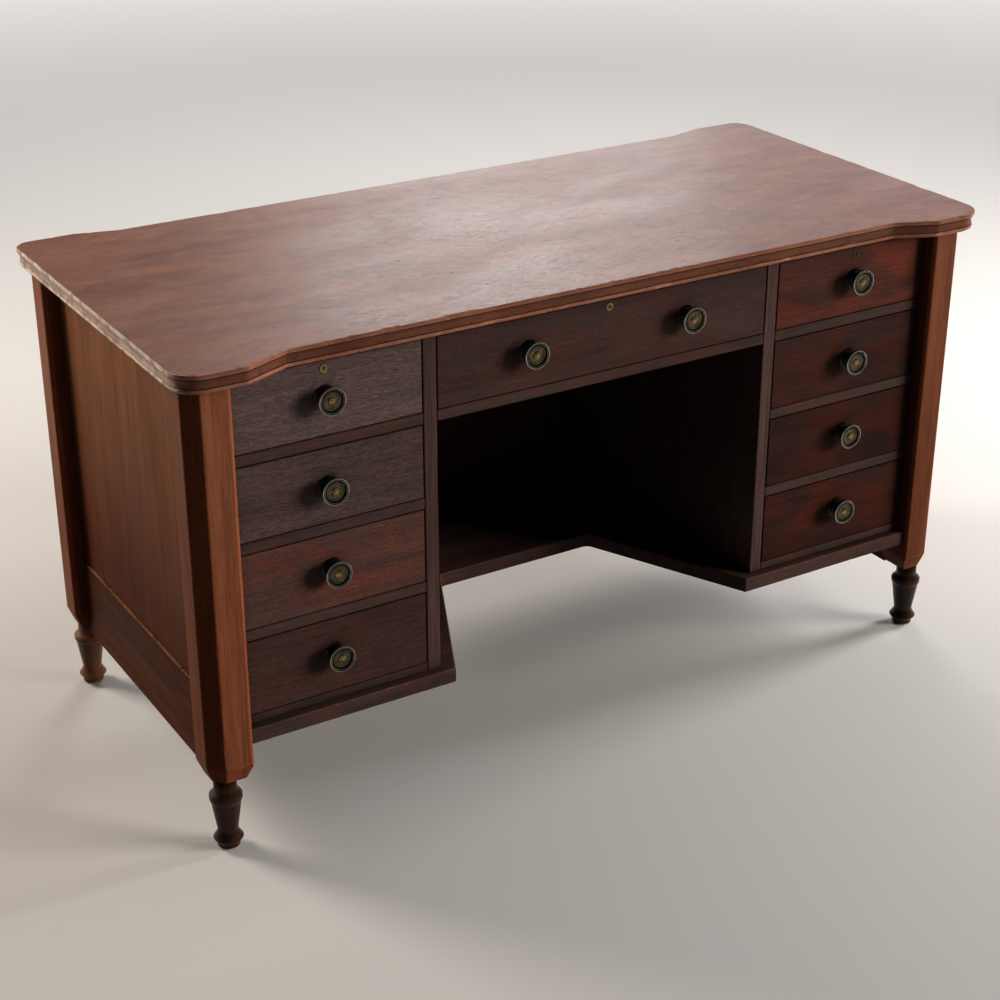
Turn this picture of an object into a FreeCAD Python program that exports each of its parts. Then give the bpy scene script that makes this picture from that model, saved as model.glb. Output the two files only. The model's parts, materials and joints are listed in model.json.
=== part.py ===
# Captain's desk: a shaped top on four chamfered posts, two drawer pedestals and a centre drawer.
# Millimetres, +Z up, front towards -Y, origin on the floor under the middle of the outline.
import FreeCAD, Part
import math
import os

V = FreeCAD.Vector

# Case, seen from the front
KNEE_W = 588.0            # clear width of the kneehole
INNER_T = 22.0            # pedestal inner panels, whose front edges show as stiles
DRAWER_W = 297.0          # pedestal drawer fronts
END_GAP = 1.5             # between the end of a drawer front and what stands beside it
POST_W = 67.5             # posts are square before their chamfers

# Case, seen from the side
CASE_D = 568.0            # from the drawer fronts to the back of the back panels
POST_PROUD = 24.0         # posts beyond the case, at the front and at the back
BACK_T = 8.0              # back panels

# Heights, from the floor up
FOOT_H = 119.0            # floor to the lower end of the posts
BOARD_RISE = 53.5         # lower end of the posts to the underside of the base board
BOARD_T = 24.5
BOTTOM_OPENING = 121.0    # drawer openings
THIRD_OPENING = 119.5
SECOND_OPENING = 116.0
TOP_OPENING = 116.0
RAIL_T = 17.5             # rails between the drawers
BOTTOM_RAIL_T = 14.0      # rails on the base board, under the bottom drawers
TOP_T = 30.0

# Outline of the top
SIDE_OVERHANG = 16.5      # beyond the posts at the ends
FRONT_EAR_OVERHANG = 23.0     # beyond the posts
BACK_EAR_OVERHANG = 12.0
MIDDLE_OVERHANG = 18.0    # beyond the case between the ears
EAR_W = 100.0             # from the end of the top to where an ear turns in
EAR_RUN = 69.0            # length of the slope from the ear to the set-back middle
FRONT_CORNER_R = 46.0
BACK_CORNER_R = 28.0
EAR_BEND_R = 10.0         # bend where an ear turns in
INNER_BEND_R = 6.0        # crisp bend where the slope meets the middle

# Edge moulding of the top
LIP_H = 7.0               # plain upper lip
LIP_EASE = 1.6
COVE_H = 14.5
COVE_D = 5.0
COVE_SET = 0.8            # upper end of the cove behind the lip
BEAD_SET = 2.8            # lower bead behind the upper lip
BEAD_SWELL = 0.5          # how far the bead swells out past its upper edge
BEAD_IN = 3.0             # how far the bead turns in at its foot

# Posts
OUTER_CHAMFER = 21.5
INNER_CHAMFER = 5.0
SIDE_CHAMFER = 6.5
BEVEL_H = 27.0            # bevel at the lower end
BEVEL_IN = 10.0

# Feet, turned
FOOT_SET = 30.4           # foot's axis behind the outer faces of its post
TOE_H = 8.0
TOE_EASE_H = 2.8          # slope under the toe
FLARE_H = 21.0
FLARE_RISE = 8.4          # fullest part of the flared ring above the toe
COLLAR_H = 18.0
COLLAR_SWELL_H = 3.6      # slope up to the collar's band
COLLAR_BAND_H = 7.2
NECK_H = 21.0
TOE_FACE_R = 10.5         # flat face on the floor
TOE_R = 16.75
FLARE_R = 23.0
FLARE_EASE = 2.6          # rounding of the flared ring
WAIST_R = 15.0
TAPER_R = 22.6
COLLAR_R = 24.6
NECK_R = 17.1
SPIGOT_R = 11.0
SPIGOT_L = 45.0

# Sides
SIDE_RAIL_DROP = 9.0      # lower edge of the side rail below the posts
SIDE_RAIL_H = 133.0
SIDE_RAIL_T = 28.0
SIDE_RAIL_SET = 21.5      # face of the side rail behind the face of the posts
SIDE_RAIL_EASE = 2.0
SIDE_PANEL_T = 24.0
TONGUE_T = 8.0            # panel tongues and their grooves
TONGUE_L = 8.0
SIDE_TENON_T = 14.0
SIDE_TENON_L = 25.0
SIDE_TENON_COVER = 8.0    # wood left above and below the side rail's tenon

# Base board
BOARD_PROUD = 15.0        # beyond the case, at the front and at the back
BOARD_LEDGE = 18.0        # reaches into the kneehole past the inner panels
BOARD_EASE = 2.5
NOTCH_D = 277.0
NOTCH_BACK_W = 292.0
NOTCH_R = 14.0
BOARD_HOUSING = 8.0       # depth of the housing in the side rails

# Rails, runners and cleats
RAIL_D = 60.0
RAIL_TENON_T = 9.0
RAIL_TENON_L = 15.0
RAIL_SHOULDER = 6.0       # front of a rail to its tenon
MORTISE_COVER = 3.0       # wood left between a rail's mortise and the side panel's groove
INNER_WEB = 8.0           # wood left in an inner panel between housings in both faces
RUNNER_W = 30.0
GUIDE_H = 20.0
CLEAT_T = 20.0
CLEAT_SCREW_SHARE = 0.2   # screw's distance from the end of its cleat, as a share of its length
CLEAT_SCREW_R = 2.0
CLEAT_SCREW_GRIP = 15.0   # length of the screw in the top
CLEAT_HEAD_R = 4.0

# Drawers
DRAWER_BACK_GAP = 80.0    # behind the drawers, in front of the back panels
FRONT_T = 20.0
EDGE_GAP = 1.0            # above and below a drawer front
HEAD_GAP = 4.0            # above the fronts of the top row
FRONT_EASE = 1.0
DRAWER_SIDE_T = 12.0
DRAWER_BACK_T = 12.0
DRAWER_SIDE_DROP = 20.0   # drawer sides lower than their opening
DRAWER_BACK_DROP = 8.0    # drawer back lower than the sides
DRAWER_BOTTOM_T = 6.0
DRAWER_BOTTOM_RISE = 10.0
DRAWER_GROOVE = 5.0
TAIL_COUNT = 3
TAIL_L = 12.0
TAIL_FILL = 0.66          # widest part of a tail in its pitch
TAIL_FLARE = 2.0          # how much wider a tail gets on each side

# Knobs
KNOB_OUT = 4.0            # knobs and locks of the pedestals sit this far outward of the middle
CENTRE_KNOB_X = 140.0
TOP_KNOB_RISE = 3.0       # knobs above the middle of their fronts
SECOND_KNOB_RISE = -1.0
THIRD_KNOB_RISE = 4.0
BOTTOM_KNOB_RISE = 4.0
ROSETTE_R = 17.0
ROSETTE_T = 3.0
ROSETTE_EDGE_T = 1.2
ROSETTE_BEVEL_W = 3.4
STEM_R = 7.0
STEM_L = 10.0
STEM_FOOT_R = 9.8         # stem widens to this on the rosette
STEM_FOOT_L = 4.6
HEAD_R = 21.0
HEAD_L = 12.0
HEAD_BACK_R = 12.6        # flat cone behind the head's round back
HEAD_BACK_L = 1.8
HEAD_EDGE_L = 3.6         # straight edge behind the rim
RIM_W = 2.8               # outer rim of the head's face
GROOVE_W = 2.6            # groove between the rim and the inner ring
GROOVE_D = 1.8
RING_W = 1.4
RING_SINK = 0.7           # inner ring behind the rim
DISH_D = 3.2              # dish inside the ring, at its deepest
BOSS_R = 5.5
BOSS_H = 2.4
BOSS_CROWN = 1.2          # domed part of the boss
KNOB_SCREW_R = 2.5
KNOB_SCREW_GRIP = 10.0    # length of the screw in the knob
KNOB_SCREW_HEAD_R = 5.0
KNOB_SCREW_HEAD_H = 3.0

# Locks
LOCK_DROP = 11.5          # lock's axis below the top edge of its drawer front
LOCK_FACE_R = 6.0
LOCK_SINK = 2.0           # lock's face starts this deep in a ring-shaped gap
LOCK_RING = 0.8           # width of that gap
LOCK_PROUD = 0.8
BARREL_R = 5.5
PLUG_R = 3.75
PLUG_PROUD = 0.4
KEY_SLOT_W = 1.4
KEY_SLOT_H = 5.0
KEY_SLOT_D = 4.0
KEY_TURN = 90.0           # degrees from unlocked to locked
CRANK_R = 6.0             # crank pin from the plug's axis
CRANK_T = 1.6
CRANK_PIN_R = 1.5
CRANK_EYE_R = 2.5
BOLT_W = 21.8
BOLT_T = 2.6
BOLT_HEAD_CLEAR = 0.5     # bolt's end below the top edge of the drawer front
BOLT_TAIL = 8.5           # bolt's lower end below the plug's axis
LOCK_WALL = 2.0
LOCK_PLATE_T = 1.5
STRIKE_CLEAR = 1.5        # room round a raised bolt in the top

# Clearances
FIT = 0.05                # glued, screwed and turning fits
PLAY = 0.2                # flat pieces that slide in the locks
PIN_PLAY = 0.3            # crank pin in its slot
GUIDE_PLAY = 0.8          # drawer side to its guide
CUT_PAST = 1.0            # how far a cut runs past the wood it shapes

# Derived places, with the case centred on Y until it is saved
INNER_IN_X = KNEE_W / 2
INNER_OUT_X = INNER_IN_X + INNER_T
POST_IN_X = INNER_OUT_X + DRAWER_W + 2 * END_GAP
POST_OUT_X = POST_IN_X + POST_W
TOP_HALF_L = POST_OUT_X + SIDE_OVERHANG
CASE_FRONT = -CASE_D / 2
CASE_BACK = CASE_D / 2
POST_OUT_Y = CASE_D / 2 + POST_PROUD
POST_IN_Y = POST_OUT_Y - POST_W
FOOT_X = POST_OUT_X - FOOT_SET
FOOT_Y = POST_OUT_Y - FOOT_SET
BACK_FACE = CASE_BACK - BACK_T
EAR_FRONT = POST_OUT_Y + FRONT_EAR_OVERHANG
EAR_BACK = POST_OUT_Y + BACK_EAR_OVERHANG
MIDDLE_Y = CASE_D / 2 + MIDDLE_OVERHANG
CENTRING = (EAR_FRONT - EAR_BACK) / 2

SIDE_IN_X = POST_OUT_X - SIDE_RAIL_SET - SIDE_RAIL_T
SIDE_RAIL_X = SIDE_IN_X + SIDE_RAIL_T
SIDE_PANEL_X = SIDE_IN_X + SIDE_PANEL_T
SIDE_RAIL_Z = FOOT_H - SIDE_RAIL_DROP
SIDE_RAIL_TOP = SIDE_RAIL_Z + SIDE_RAIL_H

BOARD_Z = FOOT_H + BOARD_RISE
BOARD_TOP = BOARD_Z + BOARD_T
BOARD_FRONT = CASE_FRONT - BOARD_PROUD
BOARD_BACK = CASE_BACK + BOARD_PROUD

BOTTOM_Z = BOARD_TOP + BOTTOM_RAIL_T
THIRD_Z = BOTTOM_Z + BOTTOM_OPENING + RAIL_T
SECOND_Z = THIRD_Z + THIRD_OPENING + RAIL_T
TOP_ROW_Z = SECOND_Z + SECOND_OPENING + RAIL_T
TOP_Z = TOP_ROW_Z + TOP_OPENING
DESK_H = TOP_Z + TOP_T

FRONT_BACK = CASE_FRONT + FRONT_T
RAIL_BACK = CASE_FRONT + RAIL_D
HOUSING = (INNER_T - INNER_WEB) / 2
DRAWER_MID_X = (INNER_OUT_X + POST_IN_X) / 2
KNOB_X = DRAWER_MID_X + KNOB_OUT
CENTRE_DRAWER_W = KNEE_W - 2 * END_GAP

# Row name, floor and height of the opening, knob above the middle of the front
ROWS = (
    ("top", TOP_ROW_Z, TOP_OPENING, TOP_KNOB_RISE),
    ("second", SECOND_Z, SECOND_OPENING, SECOND_KNOB_RISE),
    ("third", THIRD_Z, THIRD_OPENING, THIRD_KNOB_RISE),
    ("bottom", BOTTOM_Z, BOTTOM_OPENING, BOTTOM_KNOB_RISE),
)
SIDES = (("left", -1), ("right", 1))


# Small tools

def box(x0, x1, y0, y1, z0, z1):
    low = V(min(x0, x1), min(y0, y1), min(z0, z1))
    return Part.makeBox(abs(x1 - x0), abs(y1 - y0), abs(z1 - z0), low)


def rod_z(x, y, radius, z0, z1):
    return Part.makeCylinder(radius, z1 - z0, V(x, y, z0))


def rod_y(x, z, radius, y0, y1):
    return Part.makeCylinder(radius, y1 - y0, V(x, y0, z), V(0, 1, 0))


def mirror_x(shape):
    return shape.mirror(V(0, 0, 0), V(1, 0, 0))


def mirror_y(shape):
    return shape.mirror(V(0, 0, 0), V(0, 1, 0))


def prism(points, depth):
    wire = Part.makePolygon(list(points) + [points[0]])
    return Part.Face(wire).extrude(depth)


def line(start, end):
    return Part.LineSegment(start, end).toShape()


def arc(start, middle, end):
    return Part.Arc(start, middle, end).toShape()


def rounded_outline(corners, z):
    """Closed wire through (x, y, radius) corners, with a tangent arc at each rounded one."""
    count = len(corners)
    joins = []
    for i in range(count):
        here = V(corners[i][0], corners[i][1], z)
        before = V(corners[i - 1][0], corners[i - 1][1], z)
        after = V(corners[(i + 1) % count][0], corners[(i + 1) % count][1], z)
        radius = corners[i][2]
        if radius == 0:
            joins.append((here, None, here))
            continue
        to_before = (before - here).normalize()
        to_after = (after - here).normalize()
        half = to_before.getAngle(to_after) / 2
        reach = radius / math.tan(half)
        inward = (to_before + to_after).normalize()
        crown = here + inward * (radius / math.sin(half) - radius)
        joins.append((here + to_before * reach, crown, here + to_after * reach))
    edges = []
    for i in range(count):
        start, crown, end = joins[i]
        if crown is not None:
            edges.append(arc(start, crown, end))
        edges.append(line(end, joins[(i + 1) % count][0]))
    return Part.Wire(edges)


def turned(edges, centre, axis):
    """Solid of revolution of a closed half profile."""
    return Part.Face(Part.Wire(edges)).revolve(centre, axis, 360)


def edges_where(shape, test):
    return [edge for edge in shape.Edges if test(edge.BoundBox)]


def save(name, shape):
    placed = shape.copy()
    placed.translate(V(0, CENTRING, 0))
    placed.exportStep(os.path.join("parts", name + ".step"))


# Top, its cleats and their screws

def top_outline():
    front = (
        (TOP_HALF_L - EAR_W - EAR_RUN, -MIDDLE_Y, INNER_BEND_R),
        (TOP_HALF_L - EAR_W, -EAR_FRONT, EAR_BEND_R),
        (TOP_HALF_L, -EAR_FRONT, FRONT_CORNER_R),
    )
    back = (
        (TOP_HALF_L, EAR_BACK, BACK_CORNER_R),
        (TOP_HALF_L - EAR_W, EAR_BACK, EAR_BEND_R),
        (TOP_HALF_L - EAR_W - EAR_RUN, MIDDLE_Y, INNER_BEND_R),
    )
    right = front + back
    left = tuple((-x, y, radius) for x, y, radius in reversed(right))
    return rounded_outline(((0, -MIDDLE_Y, 0),) + right + left, TOP_Z)


def moulding_waste(outline):
    """Ring cut from the edge under the upper lip, leaving a cove over a bead."""
    lip_z = DESK_H - LIP_H
    bead_z = lip_z - COVE_H

    def at(inward, z):
        return V(0, -MIDDLE_Y + inward, z)

    outer_top = at(-CUT_PAST, lip_z)
    cove_top = at(COVE_SET, lip_z)
    bead_top = at(BEAD_SET, bead_z)
    bead_foot = at(BEAD_SET + BEAD_IN, TOP_Z - CUT_PAST)
    outer_foot = at(-CUT_PAST, TOP_Z - CUT_PAST)
    profile = Part.Wire([
        line(outer_top, cove_top),
        arc(cove_top, at(COVE_D, lip_z - COVE_H / 2), bead_top),
        arc(bead_top, at(BEAD_SET - BEAD_SWELL, (bead_z + TOP_Z) / 2), bead_foot),
        line(bead_foot, outer_foot),
        line(outer_foot, outer_top),
    ])
    return outline.makePipeShell([profile], True, False)


def cleat_places():
    """Low and high X and Y of each cleat: one along each side panel, three along the back."""
    back_y = BACK_FACE - CLEAT_T
    places = [(-INNER_IN_X, INNER_IN_X, back_y, BACK_FACE)]
    for _, sign in SIDES:
        places.append((sign * POST_IN_X, sign * SIDE_IN_X, -POST_IN_Y, POST_IN_Y))
        places.append((sign * INNER_OUT_X, sign * POST_IN_X, back_y, BACK_FACE))
    return places


def cleat_screw_places():
    places = []
    for x0, x1, y0, y1 in cleat_places():
        for share in (CLEAT_SCREW_SHARE, 1 - CLEAT_SCREW_SHARE):
            if abs(x1 - x0) > abs(y1 - y0):
                places.append((x0 + (x1 - x0) * share, (y0 + y1) / 2))
            else:
                places.append(((x0 + x1) / 2, y0 + (y1 - y0) * share))
    return places


def cleat_screw(x, y, clearance):
    """Countersunk screw up through a cleat into the top."""
    low = TOP_Z - CLEAT_T
    shank = rod_z(x, y, CLEAT_SCREW_R + clearance, low, TOP_Z + CLEAT_SCREW_GRIP + clearance)
    head = Part.makeCone(CLEAT_HEAD_R + clearance, CLEAT_SCREW_R, CLEAT_HEAD_R, V(x, y, low))
    return shank.fuse(head)


def bolt_strike(x):
    """Mortise in the underside of the top for a raised lock bolt."""
    lock = lock_levels()
    return box(x - BOLT_W / 2 - STRIKE_CLEAR, x + BOLT_W / 2 + STRIKE_CLEAR,
               lock["bolt_front"] - STRIKE_CLEAR, lock["bolt_back"] + STRIKE_CLEAR,
               TOP_Z, lock["bolt_top"] + lock["travel"] + STRIKE_CLEAR)


def desk_top():
    outline = top_outline()
    slab = Part.Face(outline).extrude(V(0, 0, TOP_T))
    rim = edges_where(slab, lambda b: b.ZMin > DESK_H - LIP_EASE)
    slab = slab.makeFillet(LIP_EASE, rim)
    holes = [cleat_screw(x, y, FIT) for x, y in cleat_screw_places()]
    holes += [bolt_strike(x) for x in lock_places().values()]
    return slab.cut([moulding_waste(outline)] + holes)


def top_cleats():
    cleats = []
    holes = [cleat_screw(x, y, FIT) for x, y in cleat_screw_places()]
    for x0, x1, y0, y1 in cleat_places():
        cleats.append(box(x0, x1, y0, y1, TOP_Z - CLEAT_T, TOP_Z).cut(holes))
    return Part.makeCompound(cleats)


def cleat_screws():
    return Part.makeCompound([cleat_screw(x, y, 0) for x, y in cleat_screw_places()])


# Posts and feet, made for the back right corner and mirrored

def bevel_waste(angle, reach):
    """Wedge outside a bevel plane on the face whose outward normal has this angle about Z."""
    far = 2 * POST_W
    wedge = prism((
        V(reach - BEVEL_IN, -far, FOOT_H),
        V(reach, -far, FOOT_H + BEVEL_H),
        V(reach + far, -far, FOOT_H + BEVEL_H),
        V(reach + far, -far, FOOT_H),
    ), V(0, 2 * far, 0))
    wedge.rotate(V(0, 0, 0), V(0, 0, 1), angle)
    wedge.translate(V(FOOT_X, FOOT_Y, 0))
    return wedge


def post_blank():
    section = (
        V(POST_IN_X, POST_IN_Y, FOOT_H),
        V(POST_OUT_X - SIDE_CHAMFER, POST_IN_Y, FOOT_H),
        V(POST_OUT_X, POST_IN_Y + SIDE_CHAMFER, FOOT_H),
        V(POST_OUT_X, POST_OUT_Y - OUTER_CHAMFER, FOOT_H),
        V(POST_OUT_X - OUTER_CHAMFER, POST_OUT_Y, FOOT_H),
        V(POST_IN_X + INNER_CHAMFER, POST_OUT_Y, FOOT_H),
        V(POST_IN_X, POST_OUT_Y - INNER_CHAMFER, FOOT_H),
    )
    chamfer_reach = (2 * FOOT_SET - OUTER_CHAMFER) / math.sqrt(2)
    far_reach = POST_W - FOOT_SET
    waste = [
        bevel_waste(0, FOOT_SET),
        bevel_waste(45, chamfer_reach),
        bevel_waste(90, FOOT_SET),
        bevel_waste(180, far_reach),
        bevel_waste(270, far_reach),
    ]
    blank = prism(section, V(0, 0, TOP_Z - FOOT_H))
    bore = rod_z(FOOT_X, FOOT_Y, SPIGOT_R + FIT, FOOT_H, FOOT_H + SPIGOT_L + FIT)
    return blank.cut(waste + [bore, side_panel_tongue(FIT), side_rail_tenon(FIT)])


def front_post():
    mortises = [mirror_y(rail_tenon(span, FIT)) for span in rail_spans()]
    return mirror_y(post_blank().cut(mortises))


def rear_post():
    groove = box(POST_IN_X, POST_IN_X + TONGUE_L + FIT, BACK_FACE - FIT, CASE_BACK + FIT,
                 BOARD_TOP - FIT, TOP_Z)
    return post_blank().cut(groove)


def foot():
    """Turned foot: toe, flared ring, taper, collar and neck, with a spigot up into the post."""
    flare_z = TOE_H
    waist_z = flare_z + FLARE_H
    taper_z = FOOT_H - NECK_H - COLLAR_H
    neck_z = FOOT_H - NECK_H
    ring_z = flare_z + FLARE_RISE
    band_z = taper_z + COLLAR_SWELL_H
    shoulder_z = band_z + COLLAR_BAND_H
    top_z = FOOT_H + SPIGOT_L

    def at(radius, z):
        return V(radius, 0, z)

    edges = [
        line(at(0, 0), at(TOE_FACE_R, 0)),
        line(at(TOE_FACE_R, 0), at(TOE_R, TOE_EASE_H)),
        line(at(TOE_R, TOE_EASE_H), at(TOE_R, flare_z)),
        line(at(TOE_R, flare_z), at(FLARE_R - FLARE_EASE, ring_z - FLARE_EASE)),
        arc(at(FLARE_R - FLARE_EASE, ring_z - FLARE_EASE), at(FLARE_R, ring_z),
            at(FLARE_R - FLARE_EASE, ring_z + FLARE_EASE)),
        line(at(FLARE_R - FLARE_EASE, ring_z + FLARE_EASE), at(WAIST_R, waist_z)),
        line(at(WAIST_R, waist_z), at(TAPER_R, taper_z)),
        line(at(TAPER_R, taper_z), at(COLLAR_R, band_z)),
        line(at(COLLAR_R, band_z), at(COLLAR_R, shoulder_z)),
        line(at(COLLAR_R, shoulder_z), at(NECK_R, neck_z)),
        line(at(NECK_R, neck_z), at(NECK_R, FOOT_H)),
        line(at(NECK_R, FOOT_H), at(SPIGOT_R, FOOT_H)),
        line(at(SPIGOT_R, FOOT_H), at(SPIGOT_R, top_z)),
        line(at(SPIGOT_R, top_z), at(0, top_z)),
        line(at(0, top_z), at(0, 0)),
    ]
    solid = turned(edges, V(0, 0, 0), V(0, 0, 1))
    solid.translate(V(FOOT_X, FOOT_Y, 0))
    return solid


# Sides, made on the right and mirrored

def side_panel_tongue(clearance):
    """Tongue of the side panel in the groove of the back right post."""
    middle = (SIDE_IN_X + SIDE_PANEL_X) / 2
    half = TONGUE_T / 2 + clearance
    return box(middle - half, middle + half, POST_IN_Y, POST_IN_Y + TONGUE_L + clearance,
               SIDE_RAIL_TOP - clearance, TOP_Z)


def side_foot_tongue(clearance):
    """Tongue of the side panel in the groove of the side rail."""
    middle = (SIDE_IN_X + SIDE_PANEL_X) / 2
    half = TONGUE_T / 2 + clearance
    return box(middle - half, middle + half, -POST_IN_Y, POST_IN_Y,
               SIDE_RAIL_TOP - TONGUE_L - clearance, SIDE_RAIL_TOP)


def side_rail_tenon(clearance):
    """Tenon of the side rail in the back right post, above the spigot of the foot."""
    middle = (SIDE_IN_X + SIDE_RAIL_X) / 2
    half = SIDE_TENON_T / 2 + clearance
    low = FOOT_H + SPIGOT_L + SIDE_TENON_COVER
    high = SIDE_RAIL_TOP - TONGUE_L - SIDE_TENON_COVER
    return box(middle - half, middle + half, POST_IN_Y, POST_IN_Y + SIDE_TENON_L + clearance,
               low - clearance, high + clearance)


def side_panel():
    board = box(SIDE_IN_X, SIDE_PANEL_X, -POST_IN_Y, POST_IN_Y, SIDE_RAIL_TOP, TOP_Z)
    tongue = side_panel_tongue(0)
    return board.fuse([tongue, mirror_y(tongue), side_foot_tongue(0)]).removeSplitter()


def side_rail():
    rail = box(SIDE_IN_X, SIDE_RAIL_X, -POST_IN_Y, POST_IN_Y, SIDE_RAIL_Z, SIDE_RAIL_TOP)
    arris = edges_where(rail, lambda b: b.XMin > SIDE_RAIL_X - FIT and b.YLength > POST_IN_Y)
    rail = rail.makeFillet(SIDE_RAIL_EASE, arris)
    tenon = side_rail_tenon(0)
    rail = rail.fuse([tenon, mirror_y(tenon)])
    housing = box(SIDE_IN_X, SIDE_IN_X + BOARD_HOUSING + FIT, -POST_IN_Y, POST_IN_Y,
                  BOARD_Z - FIT, BOARD_TOP + FIT)
    return rail.cut([housing, side_foot_tongue(FIT)]).removeSplitter()


# Base board, inner panels and backs

def base_board():
    notch_front_x = INNER_IN_X - BOARD_LEDGE
    notch_back = BOARD_FRONT + NOTCH_D
    edge_x = SIDE_IN_X + BOARD_HOUSING
    right = (
        (NOTCH_BACK_W / 2, notch_back, NOTCH_R),
        (notch_front_x, BOARD_FRONT, 0),
        (POST_IN_X, BOARD_FRONT, 0),
        (POST_IN_X, -POST_IN_Y, 0),
        (edge_x, -POST_IN_Y, 0),
        (edge_x, POST_IN_Y, 0),
        (POST_IN_X, POST_IN_Y, 0),
        (POST_IN_X, BOARD_BACK, 0),
    )
    left = tuple((-x, y, radius) for x, y, radius in reversed(right))
    board = Part.Face(rounded_outline(right + left, BOARD_Z)).extrude(V(0, 0, BOARD_T))
    shown = edges_where(board, lambda b: b.ZLength < FIT and b.XLength > FIT
                        and b.YMax < notch_back + FIT and max(-b.XMin, b.XMax) < POST_IN_X + FIT)
    board = board.makeFillet(BOARD_EASE, shown)
    tongue = inner_foot_tongue(FIT)
    return board.cut([tongue, mirror_x(tongue)])


def inner_foot_tongue(clearance):
    """Tongue of the right inner panel in the groove of the base board, stopped short of the front."""
    middle = (INNER_IN_X + INNER_OUT_X) / 2
    half = INNER_WEB / 2 + clearance
    return box(middle - half, middle + half, RAIL_BACK - clearance, BACK_FACE + clearance,
               BOARD_TOP - TONGUE_L - clearance, BOARD_TOP)


def inner_panel():
    panel = box(INNER_IN_X, INNER_OUT_X, CASE_FRONT, CASE_BACK, BOARD_TOP, TOP_Z)
    panel = panel.fuse(inner_foot_tongue(0)).removeSplitter()
    back_y = BACK_FACE - FIT
    depth = HOUSING + FIT
    cuts = [
        box(INNER_IN_X, INNER_IN_X + depth, back_y, CASE_BACK, BOARD_TOP, TOP_Z),
        box(INNER_OUT_X - depth, INNER_OUT_X, back_y, CASE_BACK, BOARD_TOP, TOP_Z),
        centre_rail_tenon(FIT),
    ]
    cuts += [rail_stub(span, FIT) for span in rail_spans()]
    return panel.cut(cuts)


def pedestal_back():
    return box(INNER_OUT_X - HOUSING, POST_IN_X + TONGUE_L, BACK_FACE, CASE_BACK, BOARD_TOP, TOP_Z)


def kneehole_panel():
    reach = INNER_IN_X + HOUSING
    return box(-reach, reach, BACK_FACE, CASE_BACK, BOARD_TOP, TOP_Z)


# Drawer rails and runners

def rail_spans():
    """Underside and upper face of each pedestal rail, from the base board up."""
    between = [(z - RAIL_T, z) for z in (THIRD_Z, SECOND_Z, TOP_ROW_Z)]
    return [(BOARD_TOP, BOTTOM_Z)] + between


def tenon_span():
    """Front and back of a rail's tenon: behind its shoulder, short of the side panel's groove."""
    return CASE_FRONT + RAIL_SHOULDER, -POST_IN_Y - TONGUE_L - MORTISE_COVER


def rail_tongue(x0, x1, span, clearance):
    front, back = tenon_span()
    middle = sum(span) / 2
    half = RAIL_TENON_T / 2 + clearance
    return box(x0, x1, front - clearance, back + clearance, middle - half, middle + half)


def rail_tenon(span, clearance):
    """Tenon into the right front post."""
    return rail_tongue(POST_IN_X, POST_IN_X + RAIL_TENON_L + clearance, span, clearance)


def rail_stub(span, clearance):
    """Stub into the right inner panel from the pedestal."""
    return rail_tongue(INNER_OUT_X - HOUSING - clearance, INNER_OUT_X, span, clearance)


def centre_rail_tenon(clearance):
    """Stub into the right inner panel from the kneehole."""
    span = TOP_ROW_Z - RAIL_T, TOP_ROW_Z
    return rail_tongue(INNER_IN_X, INNER_IN_X + HOUSING + clearance, span, clearance)


def pedestal_rails():
    rails = []
    for span in rail_spans():
        rail = box(INNER_OUT_X, POST_IN_X, CASE_FRONT, RAIL_BACK, *span)
        rails.append(rail.fuse([rail_tenon(span, 0), rail_stub(span, 0)]).removeSplitter())
    return Part.makeCompound(rails + [mirror_x(rail) for rail in rails])


def centre_drawer_rail():
    rail = box(-INNER_IN_X, INNER_IN_X, CASE_FRONT, RAIL_BACK, TOP_ROW_Z - RAIL_T, TOP_ROW_Z)
    stub = centre_rail_tenon(0)
    return rail.fuse([stub, mirror_x(stub)]).removeSplitter()


def drawer_runners():
    """Runners behind the rails, and guides that keep the drawers off the posts."""
    guide_x = POST_IN_X - END_GAP + GUIDE_PLAY
    strips = [box(INNER_IN_X - RUNNER_W, INNER_IN_X, RAIL_BACK, BACK_FACE,
                  TOP_ROW_Z - RAIL_T, TOP_ROW_Z)]
    for span in rail_spans():
        strips.append(box(INNER_OUT_X, INNER_OUT_X + RUNNER_W, RAIL_BACK, BACK_FACE, *span))
        strips.append(box(guide_x - RUNNER_W / 2, SIDE_IN_X, RAIL_BACK, POST_IN_Y, *span))
    for _, floor_z, _, _ in ROWS:
        strips.append(box(guide_x, SIDE_IN_X, -POST_IN_Y, POST_IN_Y, floor_z, floor_z + GUIDE_H))
    return Part.makeCompound(strips + [mirror_x(strip) for strip in strips])


# Drawers

def drawer_plan(name, x_mid, width, floor_z, opening, head_gap):
    """Sizes that the pieces of one drawer share."""
    return {
        "name": name,
        "x0": x_mid - width / 2,
        "x1": x_mid + width / 2,
        "floor": floor_z,
        "low": floor_z + EDGE_GAP,
        "high": floor_z + opening - head_gap,
        "side_top": floor_z + opening - DRAWER_SIDE_DROP,
        "end": BACK_FACE - DRAWER_BACK_GAP,
        "bottom_low": floor_z + DRAWER_BOTTOM_RISE,
        "bottom_top": floor_z + DRAWER_BOTTOM_RISE + DRAWER_BOTTOM_T,
    }


def dovetails(plan, x0, x1, clearance):
    """Tails of one drawer side, narrow at the back of the front board and wide inside it."""
    pitch = (plan["side_top"] - plan["floor"]) / TAIL_COUNT
    tip = pitch * TAIL_FILL / 2 + clearance
    root = tip - TAIL_FLARE
    tails = []
    for i in range(TAIL_COUNT):
        z = plan["floor"] + pitch * (i + 0.5)
        tails.append(prism((
            V(x0, FRONT_BACK, z - root),
            V(x0, FRONT_BACK, z + root),
            V(x0, FRONT_BACK - TAIL_L - clearance, z + tip),
            V(x0, FRONT_BACK - TAIL_L - clearance, z - tip),
        ), V(x1 - x0, 0, 0)))
    return tails


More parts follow.
